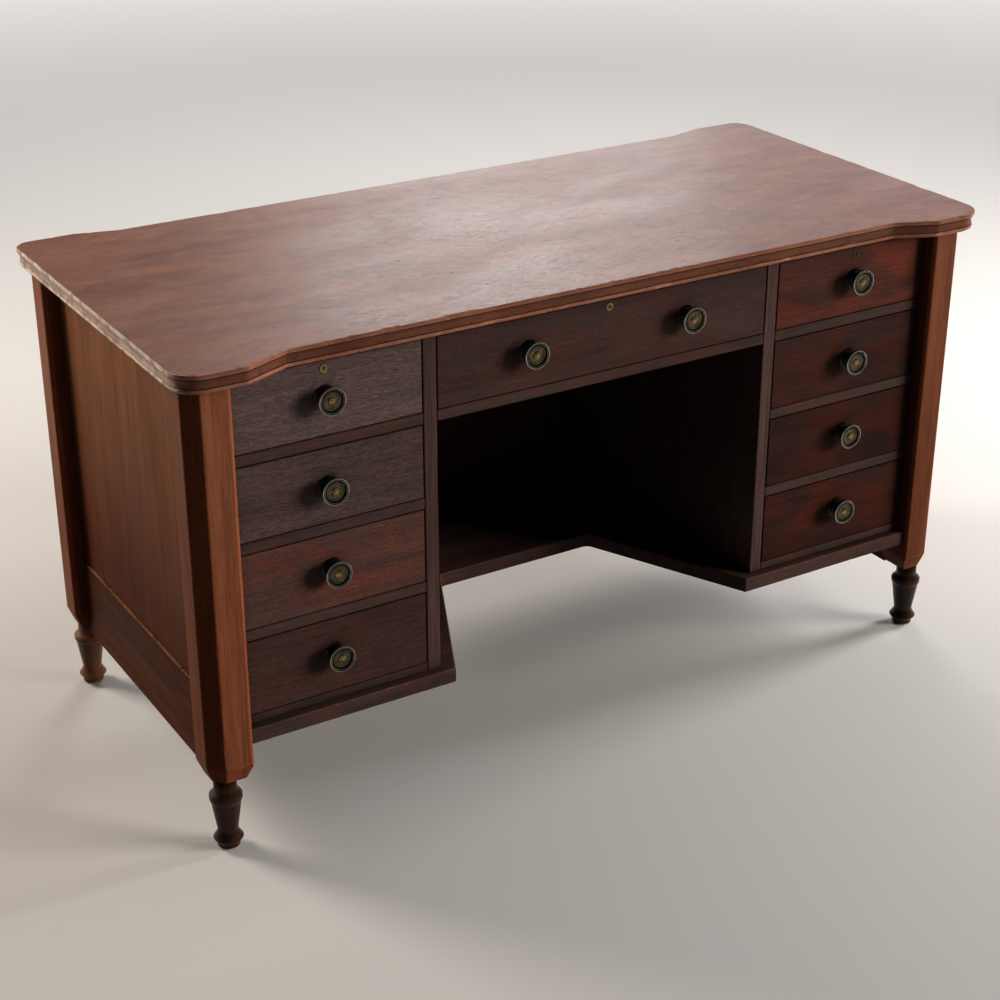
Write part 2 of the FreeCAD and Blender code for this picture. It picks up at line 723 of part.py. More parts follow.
def drawer_bottom(plan, clearance):
    """Bottom board in its grooves: the sides', the front's, and under the back."""
    in0 = plan["x0"] + DRAWER_SIDE_T
    in1 = plan["x1"] - DRAWER_SIDE_T
    reach = DRAWER_GROOVE + clearance
    z0 = plan["bottom_low"] - clearance
    z1 = plan["bottom_top"] + clearance
    board = box(in0 - reach, in1 + reach, FRONT_BACK, plan["end"], z0, z1)
    return board.fuse(box(in0, in1, FRONT_BACK - reach, FRONT_BACK, z0, z1)).removeSplitter()


def drawer_front(plan, knob_places, lock_x):
    front = box(plan["x0"], plan["x1"], CASE_FRONT, FRONT_BACK, plan["low"], plan["high"])
    arris = edges_where(front, lambda b: b.YMax < CASE_FRONT + FIT)
    front = front.makeChamfer(FRONT_EASE, arris)
    cuts = dovetails(plan, plan["x0"], plan["x0"] + DRAWER_SIDE_T + FIT, FIT)
    cuts += dovetails(plan, plan["x1"] - DRAWER_SIDE_T - FIT, plan["x1"], FIT)
    cuts.append(drawer_bottom(plan, FIT))
    cuts += [rod_y(x, z, KNOB_SCREW_R + FIT, CASE_FRONT, FRONT_BACK) for x, z in knob_places]
    if lock_x is not None:
        cuts.append(lock_pocket(lock_x))
    return front.cut(cuts)


def drawer_box(plan):
    groove = drawer_bottom(plan, FIT)
    sides = []
    for x0 in (plan["x0"], plan["x1"] - DRAWER_SIDE_T):
        x1 = x0 + DRAWER_SIDE_T
        board = box(x0, x1, FRONT_BACK, plan["end"], plan["floor"], plan["side_top"])
        board = board.cut(groove)
        sides.append(board.fuse(dovetails(plan, x0, x1, 0)).removeSplitter())
    back = box(plan["x0"] + DRAWER_SIDE_T, plan["x1"] - DRAWER_SIDE_T,
               plan["end"] - DRAWER_BACK_T, plan["end"],
               plan["bottom_top"], plan["side_top"] - DRAWER_BACK_DROP)
    return Part.makeCompound(sides + [back, drawer_bottom(plan, 0)])


# Knobs

def knob(x, z):
    """Rosette, turned knob with a dished head and a centre boss, and the screw that holds both."""
    def at(radius, out):
        return V(radius, -out, 0)

    hole_r = KNOB_SCREW_R + FIT
    head_z = ROSETTE_T + STEM_L
    rim_z = head_z + HEAD_L
    hole_z = ROSETTE_T + KNOB_SCREW_GRIP + FIT
    brow_r = ROSETTE_R - ROSETTE_BEVEL_W
    rosette = turned([
        line(at(hole_r, 0), at(ROSETTE_R, 0)),
        line(at(ROSETTE_R, 0), at(ROSETTE_R, ROSETTE_EDGE_T)),
        line(at(ROSETTE_R, ROSETTE_EDGE_T), at(brow_r, ROSETTE_T)),
        line(at(brow_r, ROSETTE_T), at(hole_r, ROSETTE_T)),
        line(at(hole_r, ROSETTE_T), at(hole_r, 0)),
    ], V(0, 0, 0), V(0, 1, 0))
    neck_z = ROSETTE_T + STEM_FOOT_L
    cheek_z = head_z + HEAD_BACK_L
    belly_z = rim_z - HEAD_EDGE_L
    groove_r = HEAD_R - RIM_W
    ring_r = groove_r - GROOVE_W
    dish_r = ring_r - RING_W
    groove_z = rim_z - GROOVE_D
    ring_z = rim_z - RING_SINK
    dish_z = rim_z - DISH_D
    dome_r = (BOSS_R ** 2 + BOSS_CROWN ** 2) / (2 * BOSS_CROWN)
    dome_z = dish_z + BOSS_H - dome_r
    half = math.asin(BOSS_R / dome_r) / 2
    brow = at(HEAD_R - RIM_W / 2, rim_z)
    bulge = math.sqrt(0.5)
    head = turned([
        line(at(hole_r, ROSETTE_T), at(STEM_FOOT_R, ROSETTE_T)),
        line(at(STEM_FOOT_R, ROSETTE_T), at(STEM_R, neck_z)),
        line(at(STEM_R, neck_z), at(STEM_R, head_z)),
        line(at(STEM_R, head_z), at(HEAD_BACK_R, cheek_z)),
        arc(at(HEAD_BACK_R, cheek_z),
            at(HEAD_BACK_R + (HEAD_R - HEAD_BACK_R) * bulge, belly_z - (belly_z - cheek_z) * bulge),
            at(HEAD_R, belly_z)),
        line(at(HEAD_R, belly_z), at(HEAD_R, rim_z - RIM_W / 2)),
        line(at(HEAD_R, rim_z - RIM_W / 2), brow),
        line(brow, at(groove_r, rim_z)),
        line(at(groove_r, rim_z), at(groove_r, groove_z)),
        line(at(groove_r, groove_z), at(ring_r, groove_z)),
        line(at(ring_r, groove_z), at(ring_r, ring_z)),
        line(at(ring_r, ring_z), at(dish_r, ring_z)),
        line(at(dish_r, ring_z), at(dish_r, groove_z)),
        line(at(dish_r, groove_z), at(BOSS_R, dish_z)),
        line(at(BOSS_R, dish_z), at(BOSS_R, dish_z + BOSS_H - BOSS_CROWN)),
        arc(at(BOSS_R, dish_z + BOSS_H - BOSS_CROWN),
            at(dome_r * math.sin(half), dome_z + dome_r * math.cos(half)),
            at(0, dish_z + BOSS_H)),
        line(at(0, dish_z + BOSS_H), at(0, hole_z)),
        line(at(0, hole_z), at(hole_r, hole_z)),
        line(at(hole_r, hole_z), at(hole_r, ROSETTE_T)),
    ], V(0, 0, 0), V(0, 1, 0))
    shank = rod_y(0, 0, KNOB_SCREW_R, -ROSETTE_T - KNOB_SCREW_GRIP, FRONT_T)
    screw_head = rod_y(0, 0, KNOB_SCREW_HEAD_R, FRONT_T, FRONT_T + KNOB_SCREW_HEAD_H)
    screw = shank.fuse(screw_head).removeSplitter()
    pieces = Part.makeCompound([rosette, head, screw])
    pieces.translate(V(x, CASE_FRONT, z))
    return pieces


# Locks

def lock_places():
    return {"left": -KNOB_X, "centre": 0.0, "right": KNOB_X}


def lock_levels():
    """Levels that the case, plug, bolt and strike share."""
    edge = TOP_Z - HEAD_GAP
    axis = edge - LOCK_DROP
    plate = FRONT_BACK - LOCK_PLATE_T
    bolt_back = plate - PLAY
    bolt_front = bolt_back - BOLT_T
    crank_back = bolt_front - PLAY
    crank_front = crank_back - CRANK_T
    pocket_front = crank_front - PLAY
    return {
        "edge": edge,
        "axis": axis,
        "floor": axis - BOLT_TAIL - PIN_PLAY,
        "plate": plate,
        "bolt_back": bolt_back,
        "bolt_front": bolt_front,
        "bolt_top": edge - BOLT_HEAD_CLEAR,
        "crank_back": crank_back,
        "crank_front": crank_front,
        "pocket_front": pocket_front,
        "case_front": pocket_front - LOCK_WALL,
        "travel": 2 * CRANK_R * math.sin(math.radians(KEY_TURN / 2)),
    }


def lock_pocket(x):
    """Cut in a drawer front for the lock's case and barrel."""
    lock = lock_levels()
    half = BOLT_W / 2 + PIN_PLAY + LOCK_WALL + FIT
    case = box(x - half, x + half, lock["case_front"] - FIT, FRONT_BACK,
               lock["floor"] - LOCK_WALL - FIT, lock["edge"])
    barrel = rod_y(x, lock["axis"], BARREL_R + FIT, CASE_FRONT, lock["case_front"])
    sink = rod_y(x, lock["axis"], LOCK_FACE_R + LOCK_RING, CASE_FRONT, CASE_FRONT + LOCK_SINK)
    return case.fuse([barrel, sink])


def lock_case(x):
    lock = lock_levels()
    half = BOLT_W / 2 + PIN_PLAY
    outer = half + LOCK_WALL
    case = box(x - outer, x + outer, lock["case_front"], FRONT_BACK,
               lock["floor"] - LOCK_WALL, lock["edge"])
    room = box(x - half, x + half, lock["pocket_front"], lock["plate"], lock["floor"], lock["edge"])
    barrel = rod_y(x, lock["axis"], BARREL_R, CASE_FRONT + LOCK_SINK, lock["case_front"])
    face = rod_y(x, lock["axis"], LOCK_FACE_R, CASE_FRONT - LOCK_PROUD, CASE_FRONT + LOCK_SINK)
    bore = rod_y(x, lock["axis"], PLUG_R + FIT, CASE_FRONT - LOCK_PROUD, lock["pocket_front"])
    return case.fuse([barrel, face]).removeSplitter().cut([room, bore])


def lock_plug(x):
    """Plug with its key slot, crank and pin, at rest with the pin low."""
    lock = lock_levels()
    z = lock["axis"]
    tip = CASE_FRONT - LOCK_PROUD - PLUG_PROUD
    plug = rod_y(x, z, PLUG_R, tip, lock["crank_back"])
    eye = rod_y(x + CRANK_R, z, CRANK_EYE_R, lock["crank_front"], lock["crank_back"])
    web = box(x, x + CRANK_R, lock["crank_front"], lock["crank_back"], z - CRANK_EYE_R, z + CRANK_EYE_R)
    pin = rod_y(x + CRANK_R, z, CRANK_PIN_R, lock["crank_back"], lock["bolt_back"])
    solid = plug.fuse([eye, web, pin]).removeSplitter()
    solid.rotate(V(x, 0, z), V(0, -1, 0), -KEY_TURN / 2)
    slot = box(x - KEY_SLOT_W / 2, x + KEY_SLOT_W / 2, tip, tip + KEY_SLOT_D,
               z - KEY_SLOT_H / 2, z + KEY_SLOT_H / 2)
    return solid.cut(slot)


def lock_bolt(x):
    """Bolt with the cross slot that the crank pin rides in."""
    lock = lock_levels()
    bolt = box(x - BOLT_W / 2, x + BOLT_W / 2, lock["bolt_front"], lock["bolt_back"],
               lock["axis"] - BOLT_TAIL, lock["bolt_top"])
    pin_z = lock["axis"] - lock["travel"] / 2
    half = CRANK_PIN_R + PIN_PLAY
    near = CRANK_R * math.cos(math.radians(KEY_TURN / 2))
    slot = box(x + near - half, x + CRANK_R + half,
               lock["bolt_front"], lock["bolt_back"], pin_z - half, pin_z + half)
    return bolt.cut(slot)


# Everything, node by node

def save_drawer(plan, knob_places, lock_x, knob_name):
    save(plan["name"] + "_front", drawer_front(plan, knob_places, lock_x))
    save(plan["name"] + "_box", drawer_box(plan))
    save(plan["name"] + knob_name, Part.makeCompound([knob(x, z) for x, z in knob_places]))


def save_pedestal_drawers():
    for side, sign in SIDES:
        for row, floor_z, opening, knob_rise in ROWS:
            head_gap = HEAD_GAP if row == "top" else EDGE_GAP
            name = side + "_" + row + "_drawer"
            plan = drawer_plan(name, sign * DRAWER_MID_X, DRAWER_W, floor_z, opening, head_gap)
            knob_z = (plan["low"] + plan["high"]) / 2 + knob_rise
            lock_x = lock_places()[side] if row == "top" else None
            save_drawer(plan, [(sign * KNOB_X, knob_z)], lock_x, "_knob")


def save_centre_drawer():
    plan = drawer_plan("centre_drawer", 0.0, CENTRE_DRAWER_W, TOP_ROW_Z, TOP_OPENING, HEAD_GAP)
    knob_z = (plan["low"] + plan["high"]) / 2 + TOP_KNOB_RISE
    knob_places = [(-CENTRE_KNOB_X, knob_z), (CENTRE_KNOB_X, knob_z)]
    save_drawer(plan, knob_places, lock_places()["centre"], "_knobs")


def save_locks():
    for place, x in lock_places().items():
        save(place + "_lock_case", lock_case(x))
        save(place + "_lock_plug", lock_plug(x))
        save(place + "_lock_bolt", lock_bolt(x))


def save_case():
    save("desk_top", desk_top())
    save("top_cleats", top_cleats())
    save("cleat_screws", cleat_screws())
    save("base_board", base_board())
    save("kneehole_panel", kneehole_panel())
    save("pedestal_rails", pedestal_rails())
    save("centre_drawer_rail", centre_drawer_rail())
    save("drawer_runners", drawer_runners())
    paired = {
        "front_{}_post": front_post(),
        "rear_{}_post": rear_post(),
        "front_{}_foot": mirror_y(foot()),
        "rear_{}_foot": foot(),
        "{}_side_panel": side_panel(),
        "{}_side_rail": side_rail(),
        "{}_inner_panel": inner_panel(),
        "{}_back_panel": pedestal_back(),
    }
    for pattern, right in paired.items():
        save(pattern.format("right"), right)
        save(pattern.format("left"), mirror_x(right))


os.makedirs("parts", exist_ok=True)
save_case()
save_pedestal_drawers()
save_centre_drawer()
save_locks()
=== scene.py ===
"""Captain's desk in waxed mahogany with brass knobs and locks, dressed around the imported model."""
import cmath
import json
import math
from functools import partial

import bmesh
import bpy
import numpy as np
from bpy.props import FloatProperty, FloatVectorProperty, IntProperty, PointerProperty
from bpy.types import Operator, Panel, PropertyGroup
from mathutils import Matrix, Vector, noise

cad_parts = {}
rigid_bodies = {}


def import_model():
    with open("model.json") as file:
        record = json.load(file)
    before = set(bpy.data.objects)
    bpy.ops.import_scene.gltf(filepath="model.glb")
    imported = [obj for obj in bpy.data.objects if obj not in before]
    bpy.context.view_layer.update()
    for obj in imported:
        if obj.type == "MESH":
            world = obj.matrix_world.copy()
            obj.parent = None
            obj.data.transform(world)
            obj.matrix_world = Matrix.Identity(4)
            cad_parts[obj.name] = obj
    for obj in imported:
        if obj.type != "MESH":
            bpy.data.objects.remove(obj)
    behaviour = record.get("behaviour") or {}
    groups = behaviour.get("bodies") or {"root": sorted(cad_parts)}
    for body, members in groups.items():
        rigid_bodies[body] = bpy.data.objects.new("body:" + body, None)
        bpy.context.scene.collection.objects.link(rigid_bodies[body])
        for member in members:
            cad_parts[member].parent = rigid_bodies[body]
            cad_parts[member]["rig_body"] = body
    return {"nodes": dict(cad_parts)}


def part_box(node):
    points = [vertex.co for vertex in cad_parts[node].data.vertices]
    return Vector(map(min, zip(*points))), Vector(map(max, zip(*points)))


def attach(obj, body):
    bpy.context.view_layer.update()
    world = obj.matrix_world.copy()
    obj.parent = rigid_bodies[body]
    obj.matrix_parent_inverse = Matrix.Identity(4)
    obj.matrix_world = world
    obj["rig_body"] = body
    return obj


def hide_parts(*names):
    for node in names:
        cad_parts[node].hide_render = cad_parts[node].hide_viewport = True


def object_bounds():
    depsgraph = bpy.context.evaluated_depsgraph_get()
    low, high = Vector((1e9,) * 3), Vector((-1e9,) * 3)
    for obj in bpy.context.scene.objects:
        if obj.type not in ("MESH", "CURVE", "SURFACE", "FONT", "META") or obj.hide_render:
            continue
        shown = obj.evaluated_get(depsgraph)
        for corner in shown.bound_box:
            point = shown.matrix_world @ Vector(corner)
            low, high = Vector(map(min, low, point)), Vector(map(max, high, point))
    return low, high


bl_info = {
    "name": "Captain's desk",
    "version": (1, 0, 0),
    "blender": (4, 5, 0),
    "location": "View3D > Sidebar > Desk",
    "description": "Dresses a captain's desk: top, posts, feet, case, drawers, knobs and locks",
    "category": "Object",
}

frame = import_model()
CAD_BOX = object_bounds()
MM = 0.001

SIDES = ("left", "right")
ROWS = ("top", "second", "third", "bottom")
X_AXIS, Z_AXIS = 0, 2

# How to turn the object's coordinates so that the grain runs along X
ALONG_X = (0.0, 0.0, 0.0)
ALONG_Y = (0.0, 0.0, -math.pi / 2)
ALONG_Z = (0.0, math.pi / 2, 0.0)

WHITE = (1.0, 1.0, 1.0, 1.0)
BLACK = (0.0, 0.0, 0.0, 1.0)
RUST = "#5d3f28"
# Values that hold most of a noise pattern, and its middle
MOST = (0.3, 0.7)
MIDDLE = (0.34, 0.66)
# Largest part of a unit normal on a flat face, and on an eased one
EASED = (0.995, 0.93)
# Vertical part of a unit normal on an upright face, and on a tilted one
TILTED = (0.06, 0.3)
# Heights in metres over which the painted shade lifts, from darkest below to none above
PAINTED_SHADE_LEVELS = (0.3, 0.76)
# Slant of the scratches to the grain, and depth of the marks in millimetres
SCRATCH_SLANT = 0.62
MARK_DEPTH = 4


def linear(code):
    """Linear colour, with alpha, of an sRGB hex value."""
    shares = [int(code[i:i + 2], 16) / 255 for i in (1, 3, 5)]
    return (*[c / 12.92 if c <= 0.04045 else ((c + 0.055) / 1.055) ** 2.4 for c in shares], 1.0)


# Settings that a user would change

def length(name, description, default, low, high):
    return FloatProperty(name=name, description=description, unit="LENGTH",
                         default=default * MM, min=low * MM, max=high * MM)


def colour(name, description, code):
    return FloatVectorProperty(name=name, description=description, subtype="COLOR", size=4,
                               min=0.0, max=1.0, default=linear(code))


class DeskTopSettings(PropertyGroup):
    nick_depth: length("Nick depth", "Deepest nicks in the edge of the top", 1.7, 0.0, 3.0)
    edge_step: length("Edge step", "Spacing of the points along the moulded edge", 3.0, 1.0, 20.0)
    dark: colour("Dark figure", "Darker streaks of the top", "#754430")
    light: colour("Light figure", "Lighter streaks of the top", "#935b3f")
    haze: colour("Haze", "Dry, faded patches of the wax", "#996a54")
    cloud: colour("Clouds", "Purplish, cloudy patches of the wax", "#744840")
    worn: colour("Worn edge", "Bare wood on the edge", "#a4705a")
    # Painted highlight: the near-white colour of the worn left end of the top, which is lit
    highlighted: colour("Bleached edge", "Bare wood bleached by daylight at the left end", "#f6e6cc")


class CaseSettings(PropertyGroup):
    arris_ease: length("Arris ease", "Width of the worn arrises", 1.3, 0.2, 3.0)
    arris_step: length("Arris step", "Spacing of the points along the worn arrises", 6.0, 2.0, 40.0)
    dent_depth: length("Dent depth", "Deepest dents in the arrises", 0.9, 0.0, 1.0)
    post: colour("Posts", "Wood of the posts", "#8a553c")
    side: colour("Side panels", "Wood of the side panels", "#9f6745")
    side_rail: colour("Side rails", "Wood of the side rails", "#502610")
    stile: colour("Stiles", "Wood of the inner panels", "#4a3632")
    rail: colour("Rails", "Wood of the drawer rails and the base board", "#403330")
    back: colour("Backs", "Wood of the back panels", "#4d3022")
    blotch: colour("Rail stains", "Redder patches of the rails", "#583228")
    shade: colour("Side stains", "Dark, greenish patches of the side panels", "#694d34")
    foot: colour("Feet", "Turned mahogany of the feet", "#4a2e1e")
    worn: colour("Worn arris", "Bare wood on the arrises", "#8a5638")


class DrawerSettings(PropertyGroup):
    front: colour("Fronts", "Wood of the drawer fronts", "#483b38")
    red_front: colour("Red fronts", "Redder boards among the drawer fronts", "#482219")
    stain: colour("Front stains", "Red patches of the drawer fronts", "#6f3523")
    lining: colour("Linings", "Oak of the drawer boxes, runners and cleats", "#a5825a")


class BrassSettings(PropertyGroup):
    knob_sides: IntProperty(
        name="Knob sides", description="Points round each turned knob and foot",
        default=72, min=24, max=160)
    polished: colour("Polished brass", "Brass of the dished faces", "#68634c")
    rim: colour("Knob rims", "Pale, silvery brass of the rims", "#a6a394")
    boss: colour("Knob bosses", "Yellow brass of the bosses", "#b69b64")
    patina: colour("Patina", "Brown film on the old brass", "#100e0b")
    lock: colour("Lock brass", "Brass of the locks", "#66593c")
    steel: colour("Steel", "Steel of the bolts and screws", "#7c7a76")


class StageSettings(PropertyGroup):
    floor: colour("Floor", "Paper that the desk stands on", "#d8d5d1")
    camera_place: FloatVectorProperty(
        name="Camera place", description="Where the camera stands", subtype="TRANSLATION",
        unit="LENGTH", default=(-1.5647, -2.5478, 1.7235))
    camera_azimuth: FloatProperty(
        name="Camera azimuth", description="Way round the desk from straight in front",
        subtype="ANGLE", default=math.radians(-31.226))
    camera_elevation: FloatProperty(
        name="Camera elevation", description="How steeply the camera looks down",
        subtype="ANGLE", default=math.radians(25.606))
    lens: FloatProperty(name="Lens", description="Focal length", unit="CAMERA", default=71.24)


# Nodes and materials

def add_node(tree, kind, inputs=(), **settings):
    """New shader node; its inputs, by name or in order, take values, sockets or other nodes."""
    node = tree.nodes.new("ShaderNode" + kind)
    for key, value in settings.items():
        setattr(node, key, value)
    for key, value in inputs.items() if isinstance(inputs, dict) else enumerate(inputs):
        if isinstance(value, bpy.types.Node):
            value = value.outputs[0]
        if isinstance(value, bpy.types.NodeSocket):
            tree.links.new(value, node.inputs[key])
        else:
            node.inputs[key].default_value = value
    return node


def with_nodes(owner):
    """Empties the node tree of a new material or world, and gives the function that adds to it too."""
    owner.use_nodes = True
    owner.node_tree.nodes.clear()
    return owner, partial(add_node, owner.node_tree)


def scaled(tint, share):
    return (*[min(1.0, c * share) for c in tint[:3]], 1.0)


def figured(tint, dark=0.78, light=1.15, bright=1.0):
    """Tints of the darker and the lighter figure of one wood."""
    return scaled(tint, dark * bright), scaled(tint, light * bright)


def streaks(add, place, long, wide, detail=2.0, distortion=0.0, span=None):
    """Pattern drawn out along the grain: length and width of its marks in millimetres, and its span,
    which is the values that it is mapped from, and to where that isn't 0 to 1."""
    size = (1 / (long * MM), 1 / (wide * MM), 1 / (wide * MM))
    sized = add("Mapping", {"Vector": place, "Scale": size})
    pattern = add("TexNoise", {"Vector": sized, "Scale": 1.0, "Detail": detail,
                               "Distortion": distortion})
    return add("MapRange", [pattern, *span]) if span else pattern


def corner_occlusion(add, reach, *span):
    """Ambient occlusion within a reach in millimetres, mapped over a span; on wood it is painted shade
    in corners.
    """
    shade = add("AmbientOcclusion", {"Distance": reach * MM}, samples=6).outputs["AO"]
    return add("MapRange", [shade, *span])


def eased_edges(add, kind="all"):
    """1 on chamfers and roundings; "level" leaves out upright ones, "up" takes in level faces."""
    normal = add("NewGeometry").outputs["True Normal"]
    x, y, z = [add("Math", [part], operation="ABSOLUTE")
               for part in add("SeparateXYZ", [normal]).outputs]
    if kind == "all":
        most = add("Math", [x, y], operation="MAXIMUM")
        most = add("Math", [most, z], operation="MAXIMUM")
        return add("MapRange", [most, *EASED])
    rise = add("MapRange", [z, *TILTED])
    if kind == "up":
        return rise
    return add("Math", [rise, add("MapRange", [z, *EASED])], operation="MULTIPLY")


def mahogany(name, grain, dark, light, worn, seed=0.0, figure=(460, 36), strands=(62, 1.9),
             haze=None, blotch=None, patches=(52, 28, 0.6), bands=0.0, lower=None, ripple=0.0,
             marks=(), edges=None, deep=0.0, chamfer_shade=None, wear=1.0, highlighted=None, corner_shade=0.75,
             rough=(0.46, 0.6), shine=0.14):
    """Waxed mahogany: long soft figure, fine fibre, short dark pores and a wax film gone patchy."""
    material, add = with_nodes(bpy.data.materials.new(name))
    own = add("TexCoord").outputs["Object"]
    place = add("Mapping", {"Vector": own, "Rotation": grain,
                            "Location": (seed, 0.7 * seed, 1.3 * seed)})
    # Ribbon figure of quarter-cut mahogany, 36 mm wide and half a metre long on most boards
    ribbon = streaks(add, place, *figure, 3.0, 0.5, span=MIDDLE)
    tint = add("MixRGB", [ribbon, dark, light])
    # Wax worn thin in patches the size of a hand, clouded in smaller ones 40 mm wide
    patch = streaks(add, place, 320, 150, 4.0, 0.6)
    if haze:
        cloud = streaks(add, place, 70, 36, 4.0, 0.8)
        dry = add("MixRGB", [0.5, patch, cloud])
        dry = add("MapRange", [dry, 0.42, 0.62, 0.0, 0.75])
        tint = add("MixRGB", [dry, tint, haze])
    if blotch:
        # Stained patches as long, wide and strong as the board has them
        stain = streaks(add, place, *patches[:2], 3.0, 0.9)
        stain = add("MapRange", [stain, 0.42, 0.64, 0.0, patches[2]])
        tint = add("MixRGB", [stain, tint, blotch])
    shades = []
    if bands:
        # Narrow bands in the figure, 5 mm wide and a hand long
        shades.append(streaks(add, place, 150, 5, span=(*MOST, 1 - bands, 1 + bands)))
    if lower:
        # Painted shade: darker towards the floor, where less light falls, and full colour higher up
        level = add("SeparateXYZ", [own]).outputs["Z"]
        level = add("MapRange", [level, *PAINTED_SHADE_LEVELS])
        shades.append(add("MixRGB", [level, lower, WHITE]))
    # Fibre is finer than a pixel, so it is drawn about 2 mm wide
    fibre = streaks(add, place, *strands)
    shades.append(add("MapRange", [fibre, *MOST, 0.76, 1.18]))
    for shade in shades:
        tint = add("MixRGB", [1.0, tint, shade], blend_type="MULTIPLY")
    # Open pores are 0.3 mm wide and up to 10 mm long, drawn 1.1 by 14 mm to show
    pore = streaks(add, place, 14, 1.1, 1.0, span=(0.6, 0.72, 0.0, 0.42))
    tint = add("MixRGB", [pore, tint, scaled(dark, 0.45)])
    height = add("Math", [fibre, 0.35], operation="MULTIPLY")
    height = add("Math", [height, pore], operation="SUBTRACT")
    if ripple:
        # Raised grain of an old planed front: ripples about 3 mm wide and 12 mm long
        wave = streaks(add, place, 12, 2.6, 1.0, 1.0, span=(0.36, 0.64))
        height = add("Math", [wave, ripple, height], operation="MULTIPLY_ADD")
        # The colour follows the ripples too: painted highlight on their crests, painted shade in their
        # hollows
        shade = add("MapRange", [wave, 0.0, 1.0, 1 - 0.1 * ripple, 1 + 0.1 * ripple])
        tint = add("MixRGB", [1.0, tint, shade], blend_type="MULTIPLY")
    if marks:
        # Ink spots and dents 2 to 5 mm across, and pale scratches at a slant to the grain
        spot = streaks(add, place, 15, 7, 2.0, 0.3, span=(0.715, 0.75, 0.0, 0.85))
        tint = add("MixRGB", [spot, tint, scaled(dark, 0.18)])
        height = add("Math", [height, spot], operation="SUBTRACT")
        slant = add("Mapping", {"Vector": place, "Rotation": (0.0, 0.0, SCRATCH_SLANT)})
        scratch = streaks(add, slant, 46, 1.3, 1.0, span=(0.72, 0.78, 0.0, 0.4))
        tint = add("MixRGB", [scratch, tint, worn])
        ragged = streaks(add, own, 4, 4, span=(*MOST, -0.35, 0.35))
        for x, y, long, wide, turn, share in marks:
            near = add("Mapping", {
                "Vector": own, "Location": (x * MM, y * MM, CAD_BOX[1].z),
                "Rotation": (0.0, 0.0, math.radians(turn)),
                "Scale": (long / 2 * MM, wide / 2 * MM, MARK_DEPTH * MM)}, vector_type="TEXTURE")
            near = add("VectorMath", [near], operation="LENGTH").outputs["Value"]
            near = add("Math", [near, ragged])
            mark = add("MapRange", [near, 1.0, 0.5, 0.0, abs(share)])
            tone = scaled(dark, 0.2) if share > 0 else scaled(worn, 1.4)
            tint = add("MixRGB", [mark, tint, tone])
    if chamfer_shade:
        # Painted shade: chamfers, which face away from the light, are tinted darker and redder
        red = add("MixRGB", [1.0, tint, chamfer_shade], blend_type="MULTIPLY")
        tint = add("MixRGB", [eased_edges(add), tint, red])
    if deep:
        # Painted shade: the eased arrises beside the gaps between parts are darkened, in patches
        share = streaks(add, place, 60, 20, span=(0.36, 0.6, 0.6 * deep, deep))
        share = add("Math", [eased_edges(add), share], operation="MULTIPLY")
        tint = add("MixRGB", [share, tint, scaled(dark, 0.22)])
    # Painted shade: ambient occlusion darkens the corners and the gaps between parts
    occluded = corner_occlusion(add, 26, 0.25, 0.95, 0.22, 1.0)
    tint = add("MixRGB", [corner_shade, tint, occluded], blend_type="MULTIPLY")
    # Wear from 0 to 1 bares wood in runs 10 to 60 mm long; more turns to the pale colour of a painted
    # highlight, and less is dirt and painted shade
    edge = add("Attribute", attribute_name="wear").outputs["Fac"]
    dirt_and_shade = add("MapRange", [edge, 0.0, -1.0, 0.0, 0.9])
    tint = add("MixRGB", [dirt_and_shade, tint, scaled(dark, 0.15)])
    bare = worn
    # The left end's wear above 1 turns to the pale colour of a painted highlight
    if highlighted:
        pale = add("MapRange", [edge, 1.0, 1.6])
        bare = add("MixRGB", [pale, worn, highlighted])
    if edges:
        edge = add("Math", [edge, eased_edges(add, edges)], operation="MAXIMUM")
    runs = streaks(add, place, 42, 16, 4.0, span=(0.36, 0.62, 0.25 * wear, wear))
    rubbed = add("Math", [edge, runs], operation="MULTIPLY", use_clamp=True)
    tint = add("MixRGB", [rubbed, tint, bare])
    # Fresh chips on rubbed edges, 3 to 8 mm long, show pale wood
    chip = streaks(add, place, 8, 5, span=(0.58, 0.66, 0.0, wear))
    chip = add("Math", [chip, edge], operation="MULTIPLY", use_clamp=True)
    tint = add("MixRGB", [chip, tint, scaled(worn, 1.5)])
    film = add("MapRange", [patch, *MIDDLE, *rough])
    grit = add("MapRange", [fibre, *MOST, -0.04, 0.04])
    film = add("Math", [film, grit])
    roughness = add("Math", [dirt_and_shade, 0.4, film], operation="MULTIPLY_ADD")
    bump = add("Bump", {"Height": height, "Strength": 0.5, "Distance": 0.55 * MM})
    shader = add("BsdfPrincipled", {"Base Color": tint, "Roughness": roughness,
                                    "Normal": bump, "Specular IOR Level": shine})
    add("OutputMaterial", [shader])
    return material


